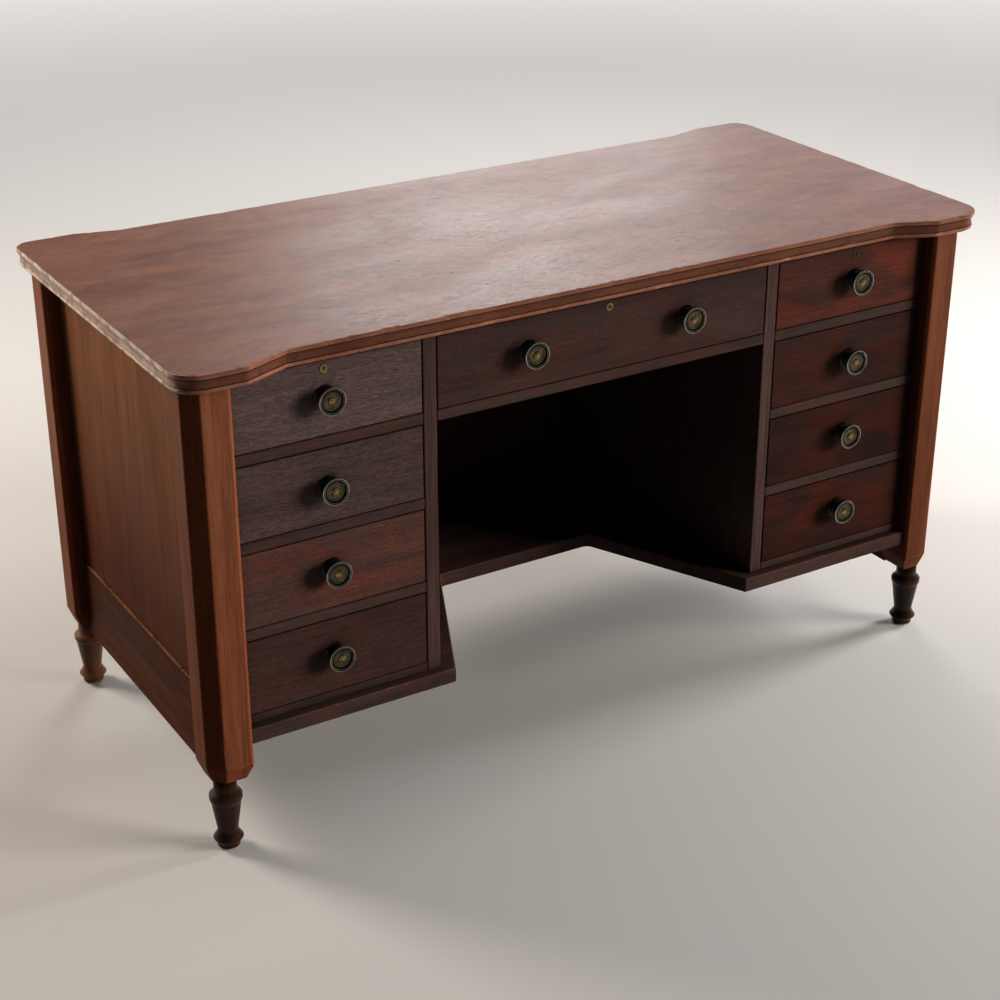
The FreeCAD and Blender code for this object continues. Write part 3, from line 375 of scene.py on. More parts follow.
def planed_oak(name, tint):
    """Planed oak, left bare: straight grain, pores in lines, yellowed, with painted shade in the
    corners.
    """
    material, add = with_nodes(bpy.data.materials.new(name))
    place = add("TexCoord").outputs["Object"]
    normal = add("NewGeometry").outputs["True Normal"]
    facing = add("Math", [add("SeparateXYZ", [normal])], operation="ABSOLUTE")
    # Faces that look left or right show their grain along Y, the others along X
    turned = add("Mapping", {"Vector": place, "Rotation": ALONG_Y})
    place = add("MixRGB", [add("MapRange", [facing, 0.4, 0.6]), place, turned])
    figure = streaks(add, place, 380, 18, 3.0, 0.4, span=MIDDLE)
    shade = add("MixRGB", [figure, scaled(tint, 0.72), scaled(tint, 1.12)])
    # Pores 0.3 mm wide stand in lines, drawn 1.2 mm wide to show
    pore = streaks(add, place, 22, 1.2, 1.0, span=(0.56, 0.7, 0.0, 0.55))
    shade = add("MixRGB", [pore, shade, scaled(tint, 0.35)])
    stain = streaks(add, place, 140, 90, 3.0, span=(0.5, 0.75, 0.0, 0.35))
    shade = add("MixRGB", [stain, shade, scaled(tint, 0.5)])
    # Painted shade: ambient occlusion darkens the corners of the boxes
    occluded = corner_occlusion(add, 40, 0.2, 0.95, 0.3, 1.0)
    shade = add("MixRGB", [0.7, shade, occluded], blend_type="MULTIPLY")
    height = add("Math", [figure, pore], operation="SUBTRACT")
    bump = add("Bump", {"Height": height, "Strength": 0.4, "Distance": 0.3 * MM})
    shader = add("BsdfPrincipled", {
        "Base Color": shade, "Normal": bump, "Specular IOR Level": 0.3,
        "Roughness": add("MapRange", [figure, 0.0, 1.0, 0.6, 0.74])})
    add("OutputMaterial", [shader])
    return material


def aged_brass(name, bright, film, start=0.0, face=0.0, boss=None, rim=None):
    """Turned brass under a brown film, rubbed bright on its rims, yellower at the boss."""
    material, add = with_nodes(bpy.data.materials.new(name))
    place = add("TexCoord").outputs["Object"]
    # Film comes off in patches of 3 to 8 mm, with specks under 1 mm drawn twice as large
    patch = streaks(add, place, 7, 7, 4.0, 0.3, span=(*MOST, -0.22, 0.22))
    speck = streaks(add, place, 1.6, 1.6)
    fleck = add("MapRange", [speck, 0.35, 0.65, start - 0.12, start + 0.12])
    rubbed = add("Attribute", attribute_name="wear").outputs["Fac"]
    clean = add("Math", [rubbed, patch])
    clean = add("Math", [clean, fleck])
    if face:
        # The face that looks forwards is brighter and the sides browner: rubbed by keys and fingers,
        # and also painted light on the face and painted shade on the sides
        normal = add("NewGeometry").outputs["True Normal"]
        ahead = add("SeparateXYZ", [normal]).outputs["Y"]
        ahead = add("MapRange", [ahead, -0.6, -0.95, 0.0, face])
        clean = add("Math", [clean, ahead])
    clean = add("MapRange", [clean, 0.05, 0.95])
    occluded = corner_occlusion(add, 4, 0.3, 0.9, 0.35, 1.0)
    clean = add("Math", [clean, occluded], operation="MULTIPLY")
    if boss:
        # A knob's axis is its own Y; the boss's yellow fades by 11 mm, and the rim is past 16 mm
        out = add("VectorMath", [place, (1.0, 0.0, 1.0)], operation="MULTIPLY")
        out = add("VectorMath", [out], operation="LENGTH").outputs["Value"]
        inner = add("MapRange", [out, 5.0 * MM, 11.0 * MM])
        outer = add("MapRange", [out, 15.5 * MM, 17.5 * MM])
        bright = add("MixRGB", [inner, boss, bright])
        bright = add("MixRGB", [outer, bright, rim])
    tint = add("MixRGB", [clean, film, bright])
    bump = add("Bump", {"Height": speck, "Strength": 0.25, "Distance": 0.15 * MM})
    shader = add("BsdfPrincipled", {
        "Base Color": tint, "Normal": bump,
        "Metallic": add("MapRange", [clean, 0.0, 1.0, 0.75, 1.0]),
        "Roughness": add("MapRange", [clean, 0.0, 1.0, 0.55, 0.32])})
    add("OutputMaterial", [shader])
    return material


def drawn_steel(name, tint):
    """Drawn steel, dulled: grey with faint draw lines and a few brown spots."""
    material, add = with_nodes(bpy.data.materials.new(name))
    place = add("TexCoord").outputs["Object"]
    # Draw lines are about 0.1 mm apart, drawn at 0.6 mm to show
    lines = streaks(add, place, 14, 0.6, 1.0, span=MOST)
    spot = streaks(add, place, 3, 3, 3.0, span=(0.58, 0.72, 0.0, 0.6))
    shade = add("MixRGB", [lines, scaled(tint, 0.75), tint])
    shade = add("MixRGB", [spot, shade, linear(RUST)])
    shader = add("BsdfPrincipled", {
        "Base Color": shade, "Metallic": 1.0,
        "Roughness": add("MapRange", [spot, 0.0, 0.6, 0.36, 0.7])})
    add("OutputMaterial", [shader])
    return material


# Meshes

def node_object(name):
    if name not in frame["nodes"]:
        raise RuntimeError(f"the packed model has no node {name}")
    return frame["nodes"][name]


def paint(material, *names):
    """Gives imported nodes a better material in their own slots."""
    for name in names:
        node = node_object(name)
        if not node.material_slots:
            raise RuntimeError(f"{name} has no material slot")
        for slot in node.material_slots:
            slot.material = material


def new_object(name, data):
    made = bpy.data.objects.new(name, data)
    bpy.context.scene.collection.objects.link(made)
    return made


def stand_in(name, mesh, material, node, place=None):
    """New piece that rides where its node does, and is shown in its place."""
    piece = new_object(name, mesh)
    if place is not None:
        piece.matrix_world = place
    if not mesh.materials:
        mesh.materials.append(material)
    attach(piece, node_object(node)["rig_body"])
    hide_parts(node)


def finished_mesh(shape, name, wear):
    """Mesh of a bmesh, with the wear of each vertex as an attribute that materials read."""
    shape.normal_update()
    mesh = bpy.data.meshes.new(name)
    shape.to_mesh(mesh)
    shape.free()
    values = mesh.attributes.new("wear", "FLOAT", "POINT")
    values.data.foreach_set("value", np.array(wear, np.float32))
    return mesh


def arc(first, middle, last, steps):
    """Points of the arc through three points, which is less than half a turn."""
    a, b, c = (complex(*spot) for spot in (first, middle, last))
    ratio = (c - a) / (b - a)
    centre = a + (b - a) * (ratio - abs(ratio) ** 2) / (2j * ratio.imag)
    turn = cmath.phase((c - centre) / (a - centre))
    spots = [centre + (a - centre) * cmath.rect(1, turn * i / steps) for i in range(steps + 1)]
    return [(spot.real, spot.imag) for spot in spots]


def closed(ring):
    """Each point of a closed ring with the one after it."""
    return zip(ring, ring[1:] + ring[:1])


# Steps of an eased corner, and the most of a side that one corner may take
EASE_STEPS = 4
EASE_SHARE = 0.48


def eased_profile(points):
    """Profile of (radius, height, ease, wear) corners, each rounded over its ease."""
    made = []
    for i, (radius, height, ease, wear) in enumerate(points):
        here = Vector((radius, height))
        if ease == 0 or i in (0, len(points) - 1):
            made.append((here, wear))
            continue
        ends = [Vector(points[i - 1][:2]), Vector(points[i + 1][:2])]
        cuts = [here + (end - here).normalized() * min(ease, (end - here).length * EASE_SHARE)
                for end in ends]
        for k in range(EASE_STEPS + 1):
            t = k / EASE_STEPS
            spot = cuts[0] * (1 - t) ** 2 + here * 2 * t * (1 - t) + cuts[1] * t ** 2
            made.append((spot, wear))
    return made


def turned_mesh(name, points, sides, axis):
    """Lathe-turned mesh of an eased profile in millimetres, with its axis along Y or Z."""
    shape = bmesh.new()
    wear = []
    rings = []
    for spot, rub in eased_profile(points):
        radius, height = spot.x * MM, spot.y * MM
        count = 1 if radius < 1e-6 else sides
        ring = []
        for k in range(count):
            angle = math.tau * k / sides
            across, up = radius * math.cos(angle), radius * math.sin(angle)
            at = (across, -height, up) if axis == "Y" else (across, up, height)
            ring.append(shape.verts.new(at))
            wear.append(rub)
        rings.append(ring * (sides // count))
    for low, high in zip(rings, rings[1:]):
        for (a, b), (c, d) in zip(closed(low), closed(high)):
            face = shape.faces.new(list(dict.fromkeys((a, b, d, c))))
            face.smooth = True
    bmesh.ops.recalc_face_normals(shape, faces=shape.faces)
    return finished_mesh(shape, name, wear)


# Arrises that are eased: their shortest length, in eases, and the least angle between their faces
LEAST_EASES = 8
LEAST_ANGLE = math.radians(12)
# Unevenness along an arris: size and depth in millimetres; knocks: size, noise that starts one, how
# fast it deepens, and where their noise is read
UNEVEN = (14, 0.16)
KNOCK = (21, 0.42, 3.2)
KNOCK_SHIFT = Vector((7.0, 3.0, 5.0))


def worn_board(node, settings, axis, wood):
    """Shows a packed board with its long arrises eased, uneven and dented along one axis."""
    ease, step, dent = settings.arris_ease, settings.arris_step, settings.dent_depth
    shape = bmesh.new()
    shape.from_mesh(node_object(node).data)
    mark = shape.faces.layers.int.new("arris")
    bmesh.ops.remove_doubles(shape, verts=shape.verts, dist=1e-6)
    bmesh.ops.dissolve_limit(shape, angle_limit=math.radians(1), verts=shape.verts,
                             edges=shape.edges, use_dissolve_boundaries=False)
    shortest = LEAST_EASES * ease
    arrises = [e for e in shape.edges
               if e.is_manifold and e.is_convex and e.calc_length() > shortest
               and e.calc_face_angle() > LEAST_ANGLE]
    if not arrises:
        raise RuntimeError(f"{node} has no arris to ease")
    made = bmesh.ops.bevel(shape, geom=arrises, offset=ease, segments=2, profile=0.5,
                           affect="EDGES", clamp_overlap=True)
    for face in made["faces"]:
        face[mark] = 1
        face.smooth = True
    low = min(v.co[axis] for v in shape.verts)
    high = max(v.co[axis] for v in shape.verts)
    across = Vector([1.0 if i == axis else 0.0 for i in range(3)])
    for k in range(1, int((high - low) / step)):
        strips = [f for f in shape.faces if f[mark]]
        parts = list({p for f in strips for p in (*f.verts, *f.edges)})
        bmesh.ops.bisect_plane(shape, geom=parts + strips, plane_co=across * (low + k * step),
                               plane_no=across, dist=1e-7)
    shape.normal_update()
    shape.verts.ensure_lookup_table()
    crests = [v for v in shape.verts if v.link_faces and all(f[mark] for f in v.link_faces)]
    shape.verts.index_update()
    wear = [0.0] * len(shape.verts)
    for vert in crests:
        size, plain = UNEVEN
        uneven = plain * MM * (1 + noise.noise(vert.co * (1 / (size * MM))))
        size, start, gain = KNOCK
        knock = max(0.0, noise.noise(vert.co * (1 / (size * MM)) + KNOCK_SHIFT) - start)
        depth = min(dent, uneven + dent * gain * knock)
        vert.co -= vert.normal * depth
        wear[vert.index] = 1.0
    bmesh.ops.triangulate(shape, faces=[f for f in shape.faces if len(f.verts) > 4])
    shape.verts.index_update()
    mesh = finished_mesh(shape, node + "_worn", wear)
    stand_in("worn_" + node, mesh, wood, node)


# Desk top

# Edge of the top in millimetres: the imported moulding with soft corners, and a narrow quirk above and
# below the cove. Arcs are three points of inset and height; rings are inset, height above the
# underside, wear, which below zero is dirt and painted shade, and share of the nicks.
TOP_T = 30.0
LIP_EASE = 1.6
FLAT_RINGS = ((8.0, TOP_T, 0.0, 0.0), (4.5, TOP_T, 0.0, 0.0), (1.8, TOP_T - 0.01, 0.0, 0.3))
CROWN = ((1.3, 30.0), (0.38, 29.62), (0.0, 28.7))
CROWN_WEAR = (0.9, 0.8, 0.5, 0.1, -0.1)
LIP_RINGS = (
    (0.0, 27.2, -0.15, 0.55), (0.1, 25.4, 0.35, 0.25), (0.45, 24.2, 1.0, 0.4), (1.2, 23.4, 0.6, 0.4),
    (2.6, 23.0, -0.9, 0.1), (3.0, 22.6, -1.6, 0.0), (2.3, 22.0, -0.9, 0.0),
)
COVE = ((2.2, 21.3), (4.8, 15.4), (3.5, 9.9))
COVE_STEPS = 8
COVE_WEAR = -0.62
QUIRK_RINGS = ((4.3, 9.2, -0.9, 0.0), (4.8, 8.75, -1.6, 0.0), (4.2, 8.4, -0.8, 0.0))
BEAD = ((3.2, 8.2), (2.4, 5.2), (4.8, 2.0))
BEAD_STEPS = 6
BEAD_MIDDLE = 4.0
BEAD_WEAR = (0.65, 0.45)
BEAD_NICKS = 0.9
UNDER_RINGS = ((8.0, 1.4, 0.0, 0.2), (13.5, 0.0, 0.0, 0.0))
SHARP_TURN = math.radians(32)
# Width, depth and height of the mortise for a bolt
STRIKE = (24.8, 5.6, 15.05)
# Share of a ring's wear between the ears, what the ends have more, and how fast that comes
PLAIN_WEAR = (0.45, 0.6, 1.6)
# How far the edge faces left where the painted highlight starts and is full, the least wear of a
# rubbed ring, and what rubbed, dirty and other rings have there, worn and lit pale by painted light
LIT_LEFT_END = (0.55, 0.95)
RUBBED_RING = 0.4
LEFT_LIT_WEAR = 1.75
LEFT_LIT_DIRT = 1.9
LEFT_LIT_GAIN = 4.5
# Nicks: size, noise that starts one, and how fast it deepens
SMALL_NICK = (9, 0.30, 1.5)
LARGE_NICK = (31, 0.34, 2.4)
LARGE_SHIFT = Vector((4.0, 9.0, 2.0))
# Where the left end starts, in metres, and how much deeper its nicks are
NICKED_END = -0.64
NICKED_GAIN = 1.5
# Where the noise of the upper and the lower half is read, and the edge's unevenness: depth, and
# waves to the metre
EDGE_LEVELS = (3.0, 8.0)
EDGE_WAVE = 0.12
EDGE_WAVES = 60
# How far a nick lowers the lip, and the share of the deepest nick that bares wood
NICK_DROP = 0.6
BARE_NICK = 0.35
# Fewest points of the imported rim, and how near its level they lie
RIM_POINTS = 40
RIM_NEAR = 0.02

# Knocks and scratches of the top: place, length and width in millimetres, turn in degrees, and how
# dark, or below zero how pale
TOP_MARKS = (
    (-440, -72, 20, 2.2, -68, 0.8), (-435, -84, 12, 4.5, -31, 0.85), (-604, -120, 12, 3.0, -62, 0.75),
    (-612, -323, 7, 6.0, 0, 1.0), (-421, 188, 24, 1.8, -101, 0.4), (-334, 145, 12, 2.6, -6, -0.75),
    (-223, 150, 10, 2.6, 22, -0.75), (-404, -70, 13, 1.8, 54, -0.7), (-647, 85, 70, 1.8, 3, 0.4),
    (-559, 120, 96, 1.8, -2, 0.4), (118, -74, 174, 2.0, -93, -0.3), (573, 263, 36, 2.6, -108, 0.45),
    (684, -235, 28, 2.0, -113, 0.45), (36, -235, 6, 4.0, -90, 0.8), (-502, -235, 8, 3.0, -72, 0.7),
    (309, -216, 28, 2.2, -10, 0.3),
)


def top_profile():
    """Rings of the edge, from the flat of the top round to the underside."""
    crown = zip(arc(*CROWN, len(CROWN_WEAR) - 1), CROWN_WEAR)
    bead = [(spot, BEAD_WEAR[spot[1] <= BEAD_MIDDLE]) for spot in arc(*BEAD, BEAD_STEPS)]
    return [
        *FLAT_RINGS, *[(*spot, rub, 1.0) for spot, rub in crown], *LIP_RINGS,
        *[(*spot, COVE_WEAR, 0.0) for spot in arc(*COVE, COVE_STEPS)], *QUIRK_RINGS,
        *[(*spot, rub, BEAD_NICKS) for spot, rub in bead], *UNDER_RINGS,
    ]


def edge_wear_and_light(rub, way):
    """Wear of one ring where the edge faces one way: most at the left end, where it is also a painted
    highlight, least between the ears.
    """
    least, more, gain = PLAIN_WEAR
    plain = rub * (least + more * min(1.0, gain * abs(way.x))) if rub > 0 else rub
    if rub > RUBBED_RING:
        end = LEFT_LIT_WEAR
    else:
        end = rub + LEFT_LIT_DIRT if rub < 0 else LEFT_LIT_GAIN * rub
    low, high = LIT_LEFT_END
    share = min(1.0, max(0.0, (-way.x - low) / (high - low)))
    return plain + (end - plain) * share


def top_outline(step):
    """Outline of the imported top, read where its rounded lip ends, in steps along each straight."""
    level = CAD_BOX[1].z - LIP_EASE * MM
    found = {(round(v.co.x, 6), round(v.co.y, 6)) for v in node_object("desk_top").data.vertices
             if abs(v.co.z - level) < RIM_NEAR * MM}
    if len(found) < RIM_POINTS:
        raise RuntimeError("the packed top has no rim at the foot of its rounded lip")
    corners = sorted(found, key=lambda p: math.atan2(p[1], p[0]))
    loop = []
    for (x0, y0), (x1, y1) in closed(corners):
        count = max(1, round(math.hypot(x1 - x0, y1 - y0) / step))
        loop += [Vector((x0 + (x1 - x0) * i / count, y0 + (y1 - y0) * i / count))
                 for i in range(count)]
    return loop


def outward(loop):
    """Unit normals of a closed outline that runs anticlockwise."""
    normals = []
    for before, here, after in zip(loop[-1:] + loop, loop, loop[1:] + loop[:1]):
        way = (here - before).normalized() + (after - here).normalized()
        normals.append(Vector((way.y, -way.x)).normalized())
    return normals


def nick(spot, level, depth):
    """Depth of the nicks at one place on the edge, more on the left end than elsewhere."""
    at = Vector((spot.x, spot.y, level))
    dense = NICKED_GAIN if spot.x < NICKED_END else 1.0
    total = 0.0
    for (size, start, gain), shift in ((SMALL_NICK, Vector()), (LARGE_NICK, LARGE_SHIFT)):
        total += gain * max(0.0, noise.noise(at * (1 / (size * MM)) + shift) - start)
    return min(depth, depth * dense * total)


def top_mesh(settings):
    shape = bmesh.new()
    wear = []
    loop = top_outline(settings.edge_step)
    normals = outward(loop)
    base = CAD_BOX[1].z - TOP_T * MM
    rings = []
    profile = top_profile()
    for inset, height, rub, share in profile:
        level = EDGE_LEVELS[height <= TOP_T / 2]
        ring = []
        for here, way in zip(loop, normals):
            loss = nick(here, level, settings.nick_depth) * share
            ripple = noise.noise(Vector((here.x, here.y, level)) * EDGE_WAVES)
            wave = EDGE_WAVE * MM * share * (1 + ripple)
            at = here - way * (inset * MM + loss + wave)
            drop = NICK_DROP * loss if height > TOP_T - LIP_EASE else 0.0
            ring.append(shape.verts.new((at.x, at.y, base + height * MM - drop)))
            bare = min(1.0, loss / (BARE_NICK * settings.nick_depth)) if settings.nick_depth else 0.0
            worn = edge_wear_and_light(rub, way)
            wear.append(max(worn, bare) if rub > 0 else worn)
        rings.append(ring)
    for upper, lower in zip(rings, rings[1:]):
        for (a, b), (c, d) in zip(closed(upper), closed(lower)):
            face = shape.faces.new((a, c, d, b))
            face.smooth = True
    spots = [Vector(point[:2]) for point in profile]
    turns = [math.pi] + [(here - before).angle(after - here)
                         for before, here, after in zip(spots, spots[1:], spots[2:])] + [math.pi]
    for turn, ring in zip(turns, rings):
        if turn > SHARP_TURN:
            for pair in closed(ring):
                shape.edges.get(pair).smooth = False
    shape.faces.new(rings[0])
    hollow = []
    for place in LOCK_PAINTED_LIGHT:
        hollow += strike_walls(shape, place, base, wear)
    rim = [shape.edges.get(pair) for pair in closed(rings[-1])]
    bmesh.ops.triangle_fill(shape, edges=rim + hollow, use_beauty=True)
    bmesh.ops.triangulate(shape, faces=[f for f in shape.faces if len(f.verts) > 4])
    bmesh.ops.recalc_face_normals(shape, faces=shape.faces)
    return finished_mesh(shape, "desk_top_worn", wear)


def strike_walls(shape, place, base, wear):
    """Mortise in the underside for a raised bolt; gives back the edges of its mouth."""
    low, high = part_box(place + "_lock_bolt")
    middle = (low + high) / 2
    wide, deep, tall = (size * MM for size in STRIKE)
    half_w, half_d = wide / 2, deep / 2
    corners = [(-half_w, -half_d), (half_w, -half_d), (half_w, half_d), (-half_w, half_d)]
    mouth = [shape.verts.new((middle.x + x, middle.y + y, base)) for x, y in corners]
    roof = [shape.verts.new((middle.x + x, middle.y + y, base + tall)) for x, y in corners]
    wear += [0.0] * len(mouth + roof)
    for (a, b), (c, d) in zip(closed(mouth), closed(roof)):
        shape.faces.new((a, b, d, c))
    shape.faces.new(roof)
    return [shape.edges.get(pair) for pair in closed(mouth)]


class DESK_OT_top(Operator):
    """Make the shaped top with its moulded, nicked edge"""
    bl_idname = "captains_desk.top"
    bl_label = "Top"

    def execute(self, context):
        settings = context.scene.desk_top
        wood = mahogany("waxed_mahogany_top", ALONG_X, settings.dark, settings.light,
                        settings.worn, figure=(170, 50), strands=(26, 1.9), haze=settings.haze,
                        blotch=settings.cloud, patches=(52, 28, 0.48), marks=TOP_MARKS, wear=0.8,
                        highlighted=settings.highlighted, rough=(0.39, 0.46), shine=0.23)
        stand_in("worn_desk_top", top_mesh(settings), wood, "desk_top")
        return {"FINISHED"}


# Posts and feet

# Brightness of each post: lit and shaded copies of one wood, painted light and shade
POST_PAINTED_LIGHT = {"front_left": 1.0, "front_right": 0.76, "rear_left": 1.25, "rear_right": 0.85}


class DESK_OT_posts(Operator):
    """Make the four chamfered posts with rubbed arrises"""
    bl_idname = "captains_desk.posts"
    bl_label = "Posts"

    def execute(self, context):
        settings = context.scene.desk_case
        for i, (place, bright) in enumerate(POST_PAINTED_LIGHT.items()):
            name = place + "_post"
            # Painted light and shade: each post's brightness, darker and redder chamfers, and darker
            # towards the floor
            wood = mahogany("waxed_mahogany_" + name, ALONG_Z,
                            *figured(settings.post, 0.8, bright=bright), settings.worn,
                            seed=1.7 * i, bands=0.14, lower=(0.8, 0.7, 0.66, 1.0),
                            chamfer_shade=(1.08, 0.86, 0.7, 1.0), wear=0.7, shine=0.05)
            worn_board(name, settings, Z_AXIS, wood)
        return {"FINISHED"}


# Turned foot in millimetres: radius, height, ease of the corner and wear
FOOT = (
    (0.0, 0.0, 0.0, 0.2), (10.5, 0.0, 1.2, 0.4), (16.75, 2.8, 1.2, 0.3), (16.75, 8.0, 1.0, 0.0),
    (20.4, 13.8, 1.5, 0.5), (23.0, 16.4, 2.4, 1.0), (20.4, 19.0, 1.5, 0.6), (15.0, 29.0, 4.0, 0.0),
    (22.6, 80.0, 1.2, 0.1), (24.6, 83.6, 1.0, 0.9), (24.6, 90.8, 1.0, 0.9), (17.1, 98.0, 1.6, 0.0),
    (17.1, 119.0, 0.0, 0.0), (11.0, 119.0, 0.0, 0.0), (11.0, 164.0, 0.6, 0.0),
    (0.0, 164.0, 0.0, 0.0),
)
# Turn from one foot to the next, so that no two show the same grain
FOOT_TURN = 1.1
# Brightness of each foot: lit and shaded copies of one wood, painted light and shade
FOOT_PAINTED_LIGHT = {"front_left": 0.3, "front_right": 0.3, "rear_left": 2.9, "rear_right": 1.0}


class DESK_OT_feet(Operator):
    """Make the four turned feet"""
    bl_idname = "captains_desk.feet"
    bl_label = "Feet"

    def execute(self, context):
        settings = context.scene.desk_case
        for i, (place, bright) in enumerate(FOOT_PAINTED_LIGHT.items()):
            name = place + "_foot"
            wood = mahogany("turned_mahogany_" + name, ALONG_Z,
                            *figured(settings.foot, 0.75, 1.2, bright), settings.worn,
                            seed=23.0 + i, wear=0.28 * bright, rough=(0.3, 0.45), shine=0.16)
            mesh = turned_mesh(name, FOOT, context.scene.desk_brass.knob_sides, "Z")
            low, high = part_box(name)
            at = Matrix.Translation(((low.x + high.x) / 2, (low.y + high.y) / 2, 0.0))
            stand_in("turned_" + name, mesh, wood, name,
                     at @ Matrix.Rotation(FOOT_TURN * i, 4, "Z"))
        return {"FINISHED"}


# Sides and case

# Stained patches of the rails: length and width in millimetres, and strength
RAIL_STAINS = (60, 40, 0.45)


class DESK_OT_case(Operator):
    """Finish the sides, inner panels, rails, base board and backs"""
    bl_idname = "captains_desk.case"
    bl_label = "Case"

    def execute(self, context):
        settings = context.scene.desk_case
        for i, side in enumerate(SIDES):
            # Painted shade: the side panels grow darker towards the floor, and their corners darker
            panel = mahogany(f"waxed_mahogany_{side}_side", ALONG_Z, *figured(settings.side),
                             settings.worn, seed=3.1 + i, blotch=settings.shade,
                             patches=(170, 60, 0.25), bands=0.1, lower=(0.29, 0.165, 0.12, 1.0),
                             corner_shade=0.4, shine=0.04)
            paint(panel, side + "_side_panel")
            # The side rails' upward faces are rubbed pale with their arrises: wear, and painted light
            # on the ledge
            rail = mahogany(f"waxed_mahogany_{side}_side_rail", ALONG_Y,
                            *figured(settings.side_rail, 0.62), scaled(settings.side, 0.7),
                            seed=5.3 + i, bands=0.28, edges="up", corner_shade=0.2, shine=0.04)
            paint(rail, side + "_side_rail")
            stile = mahogany(f"waxed_mahogany_{side}_stile", ALONG_Z, *figured(settings.stile, 0.8),
                             settings.worn, seed=7.9 + i, bands=0.3, deep=0.4, wear=0.15)
            worn_board(side + "_inner_panel", settings, Z_AXIS, stile)
        rails = mahogany("waxed_mahogany_rails", ALONG_X, *figured(settings.rail, light=1.18),
                         settings.worn, seed=11.0, blotch=settings.blotch, patches=RAIL_STAINS,
                         deep=0.6, wear=0.12, shine=0.1)
        for name in ("pedestal_rails", "centre_drawer_rail"):
            worn_board(name, settings, X_AXIS, rails)
        board = mahogany("waxed_mahogany_base_board", ALONG_X, *figured(settings.rail, 0.7),
                         settings.worn, seed=13.0, blotch=settings.blotch, patches=RAIL_STAINS,
                         edges="level", wear=0.2, shine=0.1)
        paint(board, "base_board")
        backs = mahogany("waxed_mahogany_backs", ALONG_Z, *figured(settings.back, 0.75),
                         settings.worn, seed=17.0)
        paint(backs, "kneehole_panel", "left_back_panel", "right_back_panel")
        return {"FINISHED"}


# Drawers: brightness, partly each board's own tone and partly painted light and shade, redness, height
# of the raised grain and shine of each front
FRONT_LOOKS_AND_LIGHT = {
    "left_top": (1.48, 0.05, 2.4, 0.26), "left_second": (1.05, 0.1, 2.4, 0.24),
    "left_third": (1.24, 0.4, 1.4, 0.16), "left_bottom": (0.73, 0.35, 1.4, 0.16),
    "centre": (0.77, 0.26, 1.2, 0.1), "right_top": (0.97, 0.65, 0.8, 0.06),
    "right_second": (0.5, 0.45, 0.8, 0.06), "right_third": (0.4, 0.6, 0.8, 0.06),
    "right_bottom": (0.47, 0.62, 0.8, 0.06),
}


class DESK_OT_drawers(Operator):
    """Finish the drawer fronts, their oak boxes and what they run on"""
    bl_idname = "captains_desk.drawers"
    bl_label = "Drawers"

    def execute(self, context):
        settings = context.scene.desk_drawers
        worn = context.scene.desk_case.worn
        oak = planed_oak("planed_oak_linings", settings.lining)
        for i, (place, (bright, red, ripple, shine)) in enumerate(FRONT_LOOKS_AND_LIGHT.items()):
            tint = [a + (b - a) * red for a, b in zip(settings.front, settings.red_front)]
            wood = mahogany(f"waxed_mahogany_{place}_front", ALONG_X, *figured(tint, bright=bright),
                            worn, seed=19.0 + 2.3 * i, blotch=scaled(settings.stain, bright),
                            patches=(150, 80, red), ripple=ripple, deep=0.8, shine=shine)
            paint(wood, place + "_drawer_front")
            paint(oak, place + "_drawer_box")
        paint(oak, "drawer_runners", "top_cleats")
        return {"FINISHED"}


# Knobs and locks

# Turn from one knob to the next, and to the metre along the centre drawer, so that no two match
KNOB_TURN = 2.4
CENTRE_TURN = 204.0
# Knob in millimetres, from the end of its screw outwards: radius, way out, ease and wear
KNOB_HEAD = 21.0
KNOB = (
    (0.0, -23.0, 0.0, 0.4), (5.0, -23.0, 0.8, 0.5), (5.0, -20.0, 0.0, 0.3), (2.5, -20.0, 0.0, 0.2),
    (2.5, 0.0, 0.0, 0.2), (17.0, 0.0, 0.0, 0.0), (17.0, 1.3, 0.4, 0.1), (13.5, 3.0, 0.5, 0.0),
    (10.0, 3.0, 0.8, 0.0), (7.2, 7.2, 2.4, 0.0), (7.0, 13.0, 1.2, 0.0), (12.6, 14.8, 2.0, 0.0),
    (19.0, 17.0, 3.2, 0.05), (KNOB_HEAD, 21.6, 2.2, 0.1), (KNOB_HEAD, 24.0, 0.6, 0.4),
    (20.3, 25.0, 0.5, 0.95), (19.2, 25.0, 0.4, 0.8), (18.7, 23.8, 0.4, 0.0), (17.9, 23.8, 0.3, 0.05),
    (17.5, 24.5, 0.3, 0.6), (16.7, 24.5, 0.3, 0.5), (16.3, 20.8, 0.4, 0.0), (14.9, 20.8, 0.3, 0.0),
    (14.6, 22.6, 0.5, 0.3), (13.4, 23.2, 0.8, 0.55), (9.0, 22.4, 2.0, 0.4), (5.8, 22.2, 0.5, 0.1),
    (5.4, 23.4, 0.6, 0.5), (3.4, 23.9, 0.5, 0.5), (2.7, 23.5, 0.3, 0.1), (2.2, 24.2, 0.4, 0.7),
    (0.0, 24.8, 0.0, 1.0),
)


